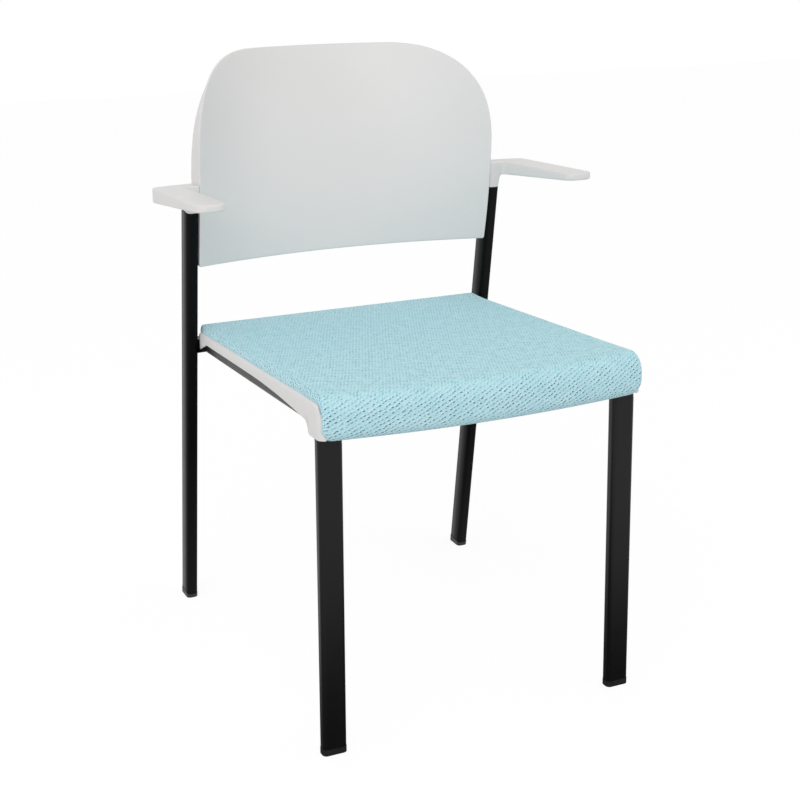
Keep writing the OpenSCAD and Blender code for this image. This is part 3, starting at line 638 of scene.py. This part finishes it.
def stations():
    """Share of the half width, and how far up from the side line each station lies."""
    a = np.radians(np.linspace(2, 90, edge_points))
    edge = 1 - edge_share + edge_share * np.cos(a) ** (2 / edge_power)
    up = np.sin(a) ** (2 / edge_power)
    flat_share = 1 - edge_share
    middle = np.linspace(-flat_share, flat_share, 2 * steps(seat_half_w * flat_share) + 1)[1:-1]
    return (np.concatenate([-edge, middle, edge[::-1]]),
            np.concatenate([up, np.ones(len(middle)), up[::-1]]))


def to_chair(x, depth, height):
    """From the plane of the rails to the chair: turned by the pitch and raised to the deck."""
    c, s = math.cos(rail_pitch), math.sin(rail_pitch)
    return side_by_side(x, depth * c + height * s, deck_h - depth * s + height * c)


def cushion_grids(puff):
    """Upper and under side of the pad. Each point mixes the side line and the outer line by the
    station's share, and moves forward by the bow, which falls off as one minus the share squared."""
    share, up = stations()
    share, up = share[:, None], up[:, None]
    bow = seat_bow * (1 - share ** 2) * bow_share
    y = side_line[:, 0] + (outer_line[:, 0] - side_line[:, 0]) * up - bow
    h = side_line[:, 1] + (outer_line[:, 1] - side_line[:, 1]) * up
    from_side = (1 - np.abs(share)) * seat_half_w
    near_corner = np.clip(1 - from_side / corner_reach, 0, 1) ** 2
    h = h + corner_rise * near_corner * low_share
    h = h + puff * (1 - share ** 2) * np.sin(math.pi * depth_share) * up
    near_nose = np.clip((depth_share - nose_start) / (1 - nose_start), 0, 1)
    spread = nose_spread * near_nose * np.abs(share) ** nose_power * np.sign(share)
    top = to_chair(share * seat_half_w + spread, y, h)
    under_y = rest_line[:, 0] - bow
    under = to_chair(share * (seat_half_w - under_in), under_y, rest_line[:, 1] + 0 * under_y)
    return top, under


def border(rows, columns):
    """Numbers of a grid's border points, walked once round."""
    number = np.arange(rows * columns).reshape(rows, columns)
    return np.concatenate([number[0, :-1], number[:-1, -1], number[-1, :0:-1], number[:0:-1, 0]])


def add_cloth_map(piece, top):
    """A flat map of the cloth in metres: how far a point is from the middle line, measured over
    the cloth, and how far from the rear hem. The underside repeats the upper one."""
    columns = top.shape[1]
    across = run_length(top[:, columns // 2])
    flat = side_by_side(across[:, None] - across[-1] / 2, run_length(outer_line))
    flat = np.tile(flat.reshape(-1, 2), (2, 1))
    loops = np.empty(len(piece.data.loops), dtype=np.int32)
    piece.data.loops.foreach_get("vertex_index", loops)
    piece.data.uv_layers.new(name="weave").data.foreach_set("uv", flat[loops].ravel())


def held_share(rows, columns):
    """How firmly each point is held: wholly at the rear, at the hem and underneath, and more
    towards the sides the further a station comes down."""
    sides = np.clip(side_hold * (1 - np.repeat(stations()[1], columns)), 0, 1)
    ends = np.where(depth_share <= 0, 1.0, 0.0) + low_share
    top = np.maximum(sides, np.tile(ends, rows).clip(0, 1))
    return np.concatenate([top, np.ones(rows * columns)])


def cushion(puff):
    """The pad as one closed mesh, with the flat map of its cloth."""
    top, under = cushion_grids(puff)
    rows, columns = top.shape[:2]
    count = rows * columns
    walk = border(rows, columns)
    after = np.roll(walk, -1)
    rim = side_by_side(walk, walk + count, after + count, after)
    faces = np.concatenate([quads(rows, columns), quads(rows, columns, count)[:, ::-1], rim])
    stands_for = ("seat_cover", "seat_foam")
    piece = make_piece("seat_cushion", (top, under), faces, seat_finish, stands_for)
    add_cloth_map(piece, top)
    return piece, held_share(rows, columns)


# %% [markdown]
# The cloth is pulled over the foam, so the foam presses it out a little everywhere but at the
# hem. A short cloth simulation with air pressure and no gravity does that: it crowns the top
# and softens the front roll. What it may move is capped, because the tray holds the edge.

# %% Press the cloth out
puff_cap, last_frame = 2.5 * MM, 20
cloth_settings = {
    "quality": 5, "mass": 0.3, "tension_stiffness": 40, "compression_stiffness": 40,
    "shear_stiffness": 20, "bending_stiffness": 3, "use_pressure": True,
    "uniform_pressure_force": 4, "vertex_group_mass": "held"}


def press_out(piece, held):
    """Runs the cloth from frame 1 to the last and keeps its movement, cut to the cap."""
    group = piece.vertex_groups.new(name="held")
    for level in np.unique(np.round(held, 1)):
        group.add([int(k) for k in np.flatnonzero(np.round(held, 1) == level)], float(level), "REPLACE")
    start = np.empty(3 * len(piece.data.vertices))
    piece.data.vertices.foreach_get("co", start)
    cloth = piece.modifiers.new("press", "CLOTH")
    for name, value in cloth_settings.items():
        setattr(cloth.settings, name, value)
    cloth.settings.effector_weights.gravity = 0
    for number in range(1, last_frame + 1):
        bpy.context.scene.frame_set(number)
    shaped = piece.evaluated_get(bpy.context.evaluated_depsgraph_get())
    end = np.empty_like(start)
    shaped.data.vertices.foreach_get("co", end)
    piece.modifiers.remove(cloth)
    bpy.context.scene.frame_set(1)
    move = (end - start).reshape(-1, 3)
    length = np.linalg.norm(move, axis=1, keepdims=True)
    move *= np.minimum(1, puff_cap / np.maximum(length, 1e-9)) * (1 - held[:, None])
    piece.data.vertices.foreach_set("co", start + move.ravel())
    print("cloth moved by up to", round(float(np.linalg.norm(move, axis=1).max()) / MM, 2), "mm")


seat_cushion, seat_held = cushion(crown)
press_out(seat_cushion, seat_held)
finer = seat_cushion.modifiers.new("finer", "SUBSURF")
finer.levels = finer.render_levels = 1

# %% [markdown]
# The tray under the cushion is moulded too. Its side bands run along the rails, widen round the
# top of the front legs, and end in a rolled lip that catches the light all along the cloth.

# %% Outline of the tray
tray_out_x, tray_rear_y = 218.45 * MM, seat_rear_y - 8 * MM
plan_corner_r, plan_corner_y = 10 * MM, -251.8 * MM
plan_bow_r = 1181.3 * MM
band_front_y, band_heel_y, band_mid_y = tray_front_y, -226 * MM, seat_rear_y - 212 * MM
band_lean, band_drop, heel_r = 3 * MM, 28.5 * MM, 14 * MM
wall_t, lip_t, lip_roll, tray_edge_r = 2.2 * MM, 4.4 * MM, 3.2 * MM, 0.7 * MM
tray_low, tray_floor_t = 0.3 * MM, 3 * MM
band_top_h, band_mid_h, band_dip, ear_h = 10 * MM, -1.8 * MM, 10.5 * MM, -14 * MM
ear_flat, ear_len = 1.5 * MM, 28.5 * MM
plan_dense_y = -190 * MM


def band_edges(y):
    """Heights of a band's upper and lower edge at a depth, both read off lines of points."""
    turn = arc((band_front_y + tray_corner_r, tray_front_h - tray_corner_r), tray_corner_r, 90, 180, 30)
    top = np.vstack([[[tray_rear_y, band_top_h]], turn, [[band_front_y - band_lean, -tray_front_h]]])
    heel = arc((band_heel_y + heel_r, band_mid_h - band_dip - heel_r), heel_r, 90, 180, 30)
    run = np.linspace(0, 1, 20)
    curve_y = band_mid_y + (heel[0, 0] - band_mid_y) * run
    curve = side_by_side(curve_y, band_mid_h - band_dip * run ** 2)
    ear = [[tray_rear_y, ear_h], [tray_rear_y - ear_flat, ear_h], [tray_rear_y - ear_len, band_mid_h]]
    foot = [[band_heel_y - band_lean, -band_drop], [band_front_y - 2 * band_lean, -band_drop]]
    low = np.vstack([ear, curve, heel, foot])
    return [np.interp(-y, -line[:, 0], line[:, 1]) for line in (top, low)]


def tray_plan(inset=0.0):
    """Right half of the tray's plan from the rear edge to the middle of the bowed front, as its
    straight side, its round corner and its bow."""
    y = np.concatenate([np.linspace(tray_rear_y, band_mid_y, 60),
                        np.linspace(band_mid_y, plan_dense_y, 60)[1:],
                        np.linspace(plan_dense_y, plan_corner_y, 90)[1:-1]])
    side = side_by_side(tray_out_x - inset, y)
    corner_x = tray_out_x - plan_corner_r
    turn = math.asin(corner_x / (plan_bow_r - plan_corner_r))
    end = math.degrees(turn) - 90
    corner = arc((corner_x, plan_corner_y), plan_corner_r - inset, 0, end, 60)
    bow_y = plan_corner_y + (plan_bow_r - plan_corner_r) * math.cos(turn)
    bow = arc((0, bow_y), plan_bow_r - inset, end, -90, 40)[1:]
    return side, corner, bow


def sweep(line, sections):
    """Rings of a bar: each section, as insets and heights, is set upright on its point of the
    line, square to the run. The line is walked with the outside on its left."""
    run = np.gradient(line, axis=0)
    run /= np.linalg.norm(run, axis=1, keepdims=True)
    inside = side_by_side(run[:, 1], -run[:, 0])
    flat = line[:, None, :] + inside[:, None, :] * sections[:, :, :1]
    return to_chair(flat[..., 0], flat[..., 1], sections[..., 1])


# %% Pieces of the tray
def band_sections(y):
    """Closed section of a band at each depth: outer face, rolled top, thick lip, thin wall."""
    high, low = band_edges(y)
    thick = wall_t + (lip_t - wall_t) * ((high - 1 * MM) / (4 * MM)).clip(0, 1)
    roll = np.minimum(lip_roll, thick - tray_edge_r)
    step_h = np.minimum(tray_low, high - roll - 0.5 * MM)
    r = tray_edge_r
    turns = ((270, 180, 4), (180, 90, 9), (90, 0, 4), (0, -90, 4))
    foot, over, back, heel = [np.radians(np.linspace(*turn))[:, None] for turn in turns]
    inset = np.concatenate([
        r + r * np.cos(foot) + 0 * y,
        roll + roll * np.cos(over),
        thick - r + r * np.cos(back),
        [thick, wall_t + 0 * y],
        wall_t - r + r * np.cos(heel) + 0 * y])
    height = np.concatenate([
        low + r + r * np.sin(foot),
        high - roll + roll * np.sin(over),
        high - r + r * np.sin(back),
        [step_h, step_h - 0.2 * MM],
        low + r + r * np.sin(heel)])
    return side_by_side(inset.T, height.T)


def seat_tray():
    """Two bands, the floor plate and the front wall, which is hidden by the cushion."""
    side, corner, bow = tray_plan()
    band_line = np.vstack([side, corner])
    band = sweep(band_line, band_sections(band_line[:, 1]))
    r, wall_low, front_t = tray_edge_r, -25 * MM, 2.5 * MM
    wall_line = mirrored(np.vstack([corner[-2:-1], bow]))
    wall_top = tray_low + 1 * MM
    box = np.vstack([
        arc((front_t - r, wall_low + r), r, 0, -90, 4),
        arc((r, wall_low + r), r, 270, 180, 4),
        [[0.2 * MM, wall_top], [front_t, wall_top]]])
    wall = sweep(wall_line, np.broadcast_to(box, (len(wall_line), *box.shape)))
    edge = mirrored(np.vstack(tray_plan(1 * MM)))
    plate = np.stack([to_chair(edge[:, 0], edge[:, 1], h) for h in (tray_low, tray_low + tray_floor_t)])
    grids, faces, count = (band, band * [-1, 1, 1], wall, plate), [], 0
    for rings, turned in zip(grids, (False, True, False, True)):
        new = ringed(rings, count)
        faces += [f[::-1] for f in new] if turned else new
        count += rings.shape[0] * rings.shape[1]
    make_piece("seat_tray_moulded", grids, faces, shell_finish, ("seat_tray",))


seat_tray()

# %% [markdown]
# The back is one moulded sheet. From the front it is a rounded shield: a straight lower edge,
# upright sides, and top corners that are squarer than circles. Seen from above it wraps round
# the sitter, more at the top than at the lower edge. Behind its rim runs a wall that is deep
# along the uprights, where the screws hold it, and thins out over the top.

# %% Outline and face of the back
back_half_w = upright_in_x - 1.2 * MM
back_low_h, back_top_h = 523 * MM, 800.4 * MM
back_rise, back_low_corner = 7.3 * MM, 2 * MM
corner_w, corner_h, corner_power = 126.6 * MM, 155.8 * MM, 2.75
back_wall = 4 * MM
wrap_low, wrap_top = 29.9 * MM, 135 * MM
back_set, back_recline, back_lumbar = 14.9 * MM, 92.3 * MM, 12.2 * MM
arm_rear_h = 637 * MM
screw_wall, least_wall, wall_fade, wall_power = 38 * MM, back_wall + 0.6 * MM, 125 * MM, 1.8


def rim_rise(x):
    """How far the upper rim rises off the middle: with the square of x."""
    return back_rise * (x / back_half_w) ** 2


def back_outline(count):
    """Closed outline of the back as x and z. A top corner is a superellipse: its width follows
    the sine and its height the cosine of an angle, both to the power of two over corner_power.
    The rim's rise comes on top of that."""
    a = np.radians(np.linspace(0, 90, 400))
    x = back_half_w - corner_w + corner_w * np.sin(a) ** (2 / corner_power)
    z = back_top_h + rim_rise(x) - corner_h * (1 - np.cos(a).clip(0) ** (2 / corner_power))
    top_x = np.linspace(0, x[0], 30, endpoint=False)
    top = side_by_side(top_x, back_top_h + rim_rise(top_x))
    side = side_by_side(x, z)
    foot = arc((back_half_w - back_low_corner, back_low_h + back_low_corner), back_low_corner, 0, -90)
    return even(mirrored(np.vstack([top, side, foot])[::-1]), count)


def up_share(z):
    """Share of the back's height."""
    return (z - back_low_h) / (back_top_h - back_low_h)


def wrap(t):
    """How far the wrap brings the sides forward at a share of the back's height."""
    return wrap_low + (wrap_top - wrap_low) * t


def back_face(x, z):
    """Depth of the front face: the middle line leans back and bulges forward between its ends,
    and the wrap brings the sides forward with the square of x."""
    t = up_share(z)
    middle = upright_y(back_low_h) + back_set + back_recline * t - 4 * back_lumbar * t * (1 - t)
    return middle - wrap(t) * (x / back_half_w) ** 2


def back_thickness(x, z):
    """Thickness through the sheet along the depth, more where the face is turned away."""
    slope = 2 * wrap(up_share(z)) * x / back_half_w ** 2
    return back_wall * np.sqrt(1 + slope ** 2)


def wall_depth(z):
    """Depth of the wall behind the rim: full along the uprights, thinning over the corners with a
    power of the height, and thin along the lower edge."""
    t = np.clip((z - arm_rear_h - 3 * MM) / wall_fade, 0, 1)
    foot = np.clip((z - back_low_h) / (5 * MM), 0, 1)
    over = (screw_wall - least_wall) * (1 - t ** wall_power)
    return least_wall + over * foot ** 2 * (3 - 2 * foot)


# %% Shell of the back
rim_r, lip_r, root_r = 1.8 * MM, 0.9 * MM, 3 * MM
outline_points, face_rings = 520, 34


def back_rings():
    """Rings of the shell, from the middle of the front face out to the rim, round it, back along
    the wall, and in again over the rear face. Each ring is the outline drawn in by an inset,
    at a depth behind the front face."""
    outline = back_outline(outline_points)
    normal = inward(outline)
    centre = np.array([0, (back_low_h + back_top_h) / 2])
    wall = wall_depth(outline[:, 1])
    rings = []

    def ring(inset, depth, shrink=0.0):
        inset = np.reshape(inset, (-1, 1))
        x, z = (outline + normal * inset).T
        edge, floor_h = back_half_w - inset[:, 0], back_low_h + inset[:, 0]
        place = side_by_side(x.clip(-edge, edge), np.maximum(z, floor_h))
        x, z = (centre + (place - centre) * (1 - shrink)).T
        behind = depth(x, z) if callable(depth) else depth
        rings.append(side_by_side(x, back_face(x, z) + behind, z))

    for q in np.linspace(1, 0, face_rings, endpoint=False)[1:]:
        ring(rim_r, 0.0, q)
    for s, c in quarter(6):
        ring(rim_r * (1 - s), rim_r * (1 - c))
    for q in np.linspace(0, 1, 6)[1:]:
        ring(0, rim_r + (wall - lip_r - rim_r) * q)
    for s, c in quarter(4)[1:]:
        ring(lip_r * (1 - c), wall - lip_r + lip_r * s)
    for s, c in quarter(4):
        ring(back_wall - lip_r + lip_r * s, wall - lip_r + lip_r * c)
    inner = outline + normal * back_wall
    thick = back_thickness(inner[:, 0], inner[:, 1])
    root = np.clip((wall - lip_r - thick) * 0.8, 0.02 * MM, root_r)
    for q in np.linspace(0, 1, 5)[1:-1]:
        ring(back_wall, (wall - lip_r) * (1 - q) + (thick + root) * q)
    for s, c in quarter(6):
        ring(back_wall + root * (1 - c), thick + root * (1 - s))
    for q in np.linspace(0, 1, face_rings, endpoint=False)[1:]:
        ring(back_wall + root, back_thickness, q)
    return np.array(rings)


def back_shell():
    """The rings, closed by a fan of faces round a point in the middle of each face."""
    rings = back_rings()
    rows, columns = rings.shape[:2]
    middle_z = (back_low_h + back_top_h) / 2
    front_y = back_face(0.0, middle_z)
    poles = np.array([[0, front_y, middle_z], [0, front_y + back_wall, middle_z]])
    count, last = rows * columns, (rows - 1) * columns
    j = np.arange(columns)
    after = (j + 1) % columns
    front_fan = side_by_side(count, after, j)
    rear_fan = side_by_side(count + 1, last + j, last + after)
    faces = [*quads(rows, columns, closed=True), *front_fan, *rear_fan]
    weld(make_piece("back_shell", (rings, poles), faces, shell_finish, ("back_panel",)))


back_shell()

# %% [markdown]
# An arm is a thin pad, tied by a short neck to a block that plugs into the upright. The pad is
# a plate: its outline is carried from the lower to the upper face while it swells out and draws
# in again over the rounded edges.

# %% Plate of the arm
arm_in_x = upright_out_x + 4.3 * MM
arm_w, arm_len = 39.5 * MM, 201 * MM
arm_out_x = arm_in_x + arm_w
arm_rear_y = upright_y(arm_rear_h) + 3.2 * MM
arm_front_y = arm_rear_y - arm_len
arm_rise, arm_rear_t, arm_front_t = 11 * MM, 20.5 * MM, 9.5 * MM
neck_h = arm_rear_h - arm_rear_t
neck_front_y = upright_y(neck_h) - tube_w / 2
neck_rear_y = upright_y(neck_h) + tube_w / 2
neck_in_x = upright_in_x - 1.15 * MM
front_r, rear_r, inner_r, neck_r, neck_front_r = 16 * MM, 5 * MM, 5 * MM, 4.5 * MM, 2 * MM
edge_r, arm_points = 2.4 * MM, 230
lean_in, lean_before, lean_fade = 14 * MM, 40 * MM, 20 * MM
under_slope = (arm_rise + arm_rear_t - arm_front_t) / arm_len


def arm_top(y):
    """Height of the pad's upper face, which rises to the front."""
    return arm_rear_h + (arm_rear_y - y) * arm_rise / arm_len


def arm_under(y):
    """Height of the pad's lower face, which rises faster, so the pad thins to the front."""
    return neck_h + (arm_rear_y - y) * under_slope


def arm_outline():
    """Closed plan of pad and neck, anticlockwise. The rear edge slants from the pad to the block."""
    slant_run = arm_out_x - rear_r - upright_out_x + neck_r
    slant = 90 - math.degrees(math.atan2(neck_rear_y - arm_rear_y, slant_run))
    line = np.vstack([
        arc((arm_out_x - rear_r, arm_rear_y - rear_r), rear_r, 0, slant),
        arc((upright_out_x - neck_r, neck_rear_y - neck_r), neck_r, slant, 90),
        arc((neck_in_x + neck_r, neck_rear_y - neck_r), neck_r, 90, 180),
        arc((neck_in_x + neck_front_r, neck_front_y + neck_front_r), neck_front_r, 180, 270),
        arc((arm_in_x - inner_r, neck_front_y - inner_r), inner_r, 90, 0),
        arc((arm_in_x + front_r, arm_front_y + front_r), front_r, 180, 270),
        arc((arm_out_x - front_r, arm_front_y + front_r), front_r, 270, 360)])
    return even(line, arm_points)


def lean_share(place):
    """How far a point of the plan follows the upright's lean: all of it at the neck, and none a
    little way into the pad."""
    across = (arm_in_x + lean_in - place[:, 0]) / lean_in
    along = (place[:, 1] - neck_front_y + lean_before) / lean_fade
    return across.clip(0, 1) * along.clip(0, 1)


def plate_rings(outline):
    """Rings of the plate, from its lower face round the edge to its upper face."""
    normal = inward(outline)
    rings = []

    def ring(a, level):
        place = outline + normal * edge_r * (1 - math.cos(a))
        low, high = arm_under(place[:, 1]) + edge_r, arm_top(place[:, 1]) - edge_r
        z = low + (high - low) * level + edge_r * math.sin(a)
        lean = (z - neck_h) * math.tan(upright_lean) * lean_share(place)
        rings.append(side_by_side(place[:, 0], place[:, 1] - lean, z))

    for level in (0, 1):
        for a in np.radians(np.linspace(-90, 0, 7) + 90 * level):
            ring(a, level)
    return np.array(rings)


# %% Block of the arm
upright_top_h = arm_rear_h - arm_rear_t - 14.5 * MM
fillet_r, block_spread, proud, block_lip = 3.5 * MM, 1.6 * MM, 0.12 * MM, 0.7 * MM
block_points, side_sharpness = 72, 1.6


def tube_outline():
    """Closed section of the tube, its wide side along y."""
    x, y = tube_t / 2 - tube_corner, tube_w / 2 - tube_corner
    corners = ((x, y, 0), (-x, y, 90), (-x, -y, 180), (x, -y, 270))
    line = [arc((cx, cy), tube_corner, first, first + 90) for cx, cy, first in corners]
    return even(np.vstack(line), block_points)


def block_rings():
    """Rings of the block, from the upright's end up into the plate. Its outer side spreads as it
    rises and runs into the pad's underside in a small hollow curve; the other sides go straight.
    Under is how far up the leaning block each of its lines meets the pad's sloping underside."""
    section = tube_outline()
    normal = inward(section)
    outer, inner = [np.clip(side * normal[:, 0] * side_sharpness, 0, 1) for side in (-1, 1)]
    c, s = math.cos(upright_lean), math.sin(upright_lean)
    foot = upright_top_h / c + 0.3 * MM
    under = arm_under(upright_foot_y) - section[:, 1] * (s + under_slope * c)
    under /= c - under_slope * s
    rings = []

    def ring(up, inset, spread):
        x, y = (section + normal * inset).T
        x = upright_x + x + outer * spread - inner * (upright_in_x - neck_in_x)
        rings.append(side_by_side(x, y * c - up * s + upright_foot_y, y * s + up * c))

    for sine, cosine in quarter(4):
        ring(foot + block_lip * (1 - cosine), block_lip * (1 - sine), 0.0)
    for sine, cosine in quarter(7):
        up = under - fillet_r + fillet_r * sine
        ring(up, -proud, block_spread * (up - foot) / (under - foot) + fillet_r * (1 - cosine))
    ring(under + edge_r, -proud, block_spread)
    ring(under + edge_r + 0.4 * MM, 1.5 * MM, 0.0)
    return np.array(rings)


def arm(side, name, stands_for):
    """Plate and block in one mesh; the left arm is the right one mirrored, faces turned back."""
    plate, block = plate_rings(arm_outline()), block_rings()
    faces = ringed(plate) + ringed(block, plate.shape[0] * plate.shape[1])
    grids = [rings * [side, 1, 1] for rings in (plate, block)]
    if side < 0:
        faces = [f[::-1] for f in faces]
    make_piece(name, grids, faces, shell_finish, (stands_for,))


arm(1, "arm_pad_right", "arm_right")
arm(-1, "arm_pad_left", "arm_left")

# %% [markdown]
# The floor is a plain pale sheet. To the camera it is white with only the chair's soft shadow
# on it; to the chair it is an ordinary matt floor that throws light back up. Its own white is a
# trace over one, which makes up for the share of matt floor in the mix. In the black coat's
# mirror it also shows the soft shade under the seat's front edge, twice as wide as it is deep,
# so that the front legs grow darker towards the ground.

# %% Floor
floor_half, floor_grey, floor_roughness, floor_glow, glow_share = 6.0, grey(0.8), 0.9, 1.06, 0.86
shade_squash, shade_back = (0.5, 1.0, 0.0), (0.0, 0.3, 0.0)
shade_reach, shade_least = (0.07, 0.6), 0.03


def vector_maths(tree, operation, *values):
    """The outputs of one vector math node."""
    made = node(tree, "VectorMath")
    made.operation = operation
    for socket, value in zip(made.inputs, values):
        plug(socket, value)
    return made.outputs


def mix_shaders(tree, share, first, second, end):
    """Sends two shaders, mixed by a share, to the surface of the tree's end node."""
    mix = node(tree, "MixShader", Fac=share)
    tree.links.new(first, mix.inputs[1])
    tree.links.new(second, mix.inputs[2])
    tree.links.new(mix.outputs["Shader"], tree.nodes[end].inputs["Surface"])


def ray_kinds(tree, *kinds):
    """Fields that are one for rays of a kind and nothing for others."""
    made = node(tree, "LightPath")
    return [Field(made.outputs["Is " + kind + " Ray"]) for kind in kinds]


def floor_finish():
    """A matt grey that glows white for the camera and in reflections. The shade is an oval: the
    length of the place, squashed in x and moved back, goes through a soft step."""
    made, tree, shader = material("floor_white")
    feed(shader, Base_Color=floor_grey, Roughness=floor_roughness)
    by_camera, by_gloss = ray_kinds(tree, "Camera", "Glossy")
    oval = vector_maths(tree, "MULTIPLY_ADD", object_place(tree), shade_squash, shade_back)["Vector"]
    away = Field(vector_maths(tree, "LENGTH", Field(oval))["Value"])
    shown = maths("MAXIMUM", by_camera, between(smooth(away, *shade_reach), 1.0, shade_least))
    white = node(tree, "Emission", Strength=shown * floor_glow)
    share = maths("MAXIMUM", by_camera, by_gloss) * glow_share
    mix_shaders(tree, share, shader.outputs["BSDF"], white.outputs["Emission"], "Material Output")
    return made


def floor():
    """A square sheet on the ground, under the feet."""
    corners = np.array([[-1, -1, 0], [1, -1, 0], [1, 1, 0], [-1, 1, 0]]) * floor_half
    mesh = bpy.data.meshes.new("floor")
    mesh.from_pydata(corners.tolist(), [], [[0, 1, 2, 3]])
    mesh.materials.append(floor_finish())
    add_object("floor", mesh)


floor()

# %% [markdown]
# A catalogue photograph is lit by big soft boxes in a white room. The world gives most of the
# light, evenly. One large lamp from the upper left of the camera gives the forms a direction, one
# on the left lights the sides of arms and tray, and a weak one fills in from the right.

# %% Light
def world_light(strength):
    """White for the camera and in reflections, a grey of some strength as light."""
    world = bpy.data.worlds.new("studio")
    bpy.context.scene.world = world
    world.use_nodes = True
    tree = world.node_tree
    dim, white = tree.nodes["Background"], node(tree, "Background", Color=grey(1.0))
    feed(dim, Color=grey(1.0), Strength=strength)
    by_camera, by_gloss, through = ray_kinds(tree, "Camera", "Glossy", "Transmission")
    share = maths("MAXIMUM", by_camera, maths("MAXIMUM", by_gloss, through))
    mix_shaders(tree, share, dim.outputs["Background"], white.outputs["Background"], "World Output")


def look(made, place, line_of_sight):
    """Stands a lamp or camera at its place and turns it."""
    made.location = place
    made.rotation_euler = line_of_sight.to_track_quat("-Z", "Y").to_euler()


def soft_box(name, place, aim, size, watts):
    """A square area lamp that looks at a point."""
    lamp = bpy.data.lights.new(name, "AREA")
    lamp.energy = watts
    lamp.size = size
    look(add_object(name, lamp), place, Vector(aim) - Vector(place))


world_light(strength=0.62)
soft_box("key", place=(-1.6, -2.2, 2.8), aim=(0, 0, 0.45), size=2.4, watts=30)
soft_box("fill", place=(2.6, -1.4, 1.6), aim=(0, 0, 0.5), size=2.0, watts=10)
soft_box("side", place=(-2.6, -0.8, 2.0), aim=(0, 0, 0.5), size=2.0, watts=10)

# %% [markdown]
# The camera stands where the photograph was taken from: in front of the chair and to the left,
# a metre high, looking down by 18 degrees. It was worked out from straight edges of the chair.

# %% Camera
camera_place, camera_look = (-0.8328, -1.7943, 1.0110), (0.4016, 0.8595, -0.3161)
focal_length, film_width = 69.0, 36.0
lens = bpy.data.cameras.new("camera")
lens.lens, lens.sensor_width = focal_length, film_width
camera = add_object("camera", lens)
look(camera, camera_place, Vector(camera_look))
bpy.context.scene.camera = camera
bpy.context.scene.view_settings.view_transform = "Standard"
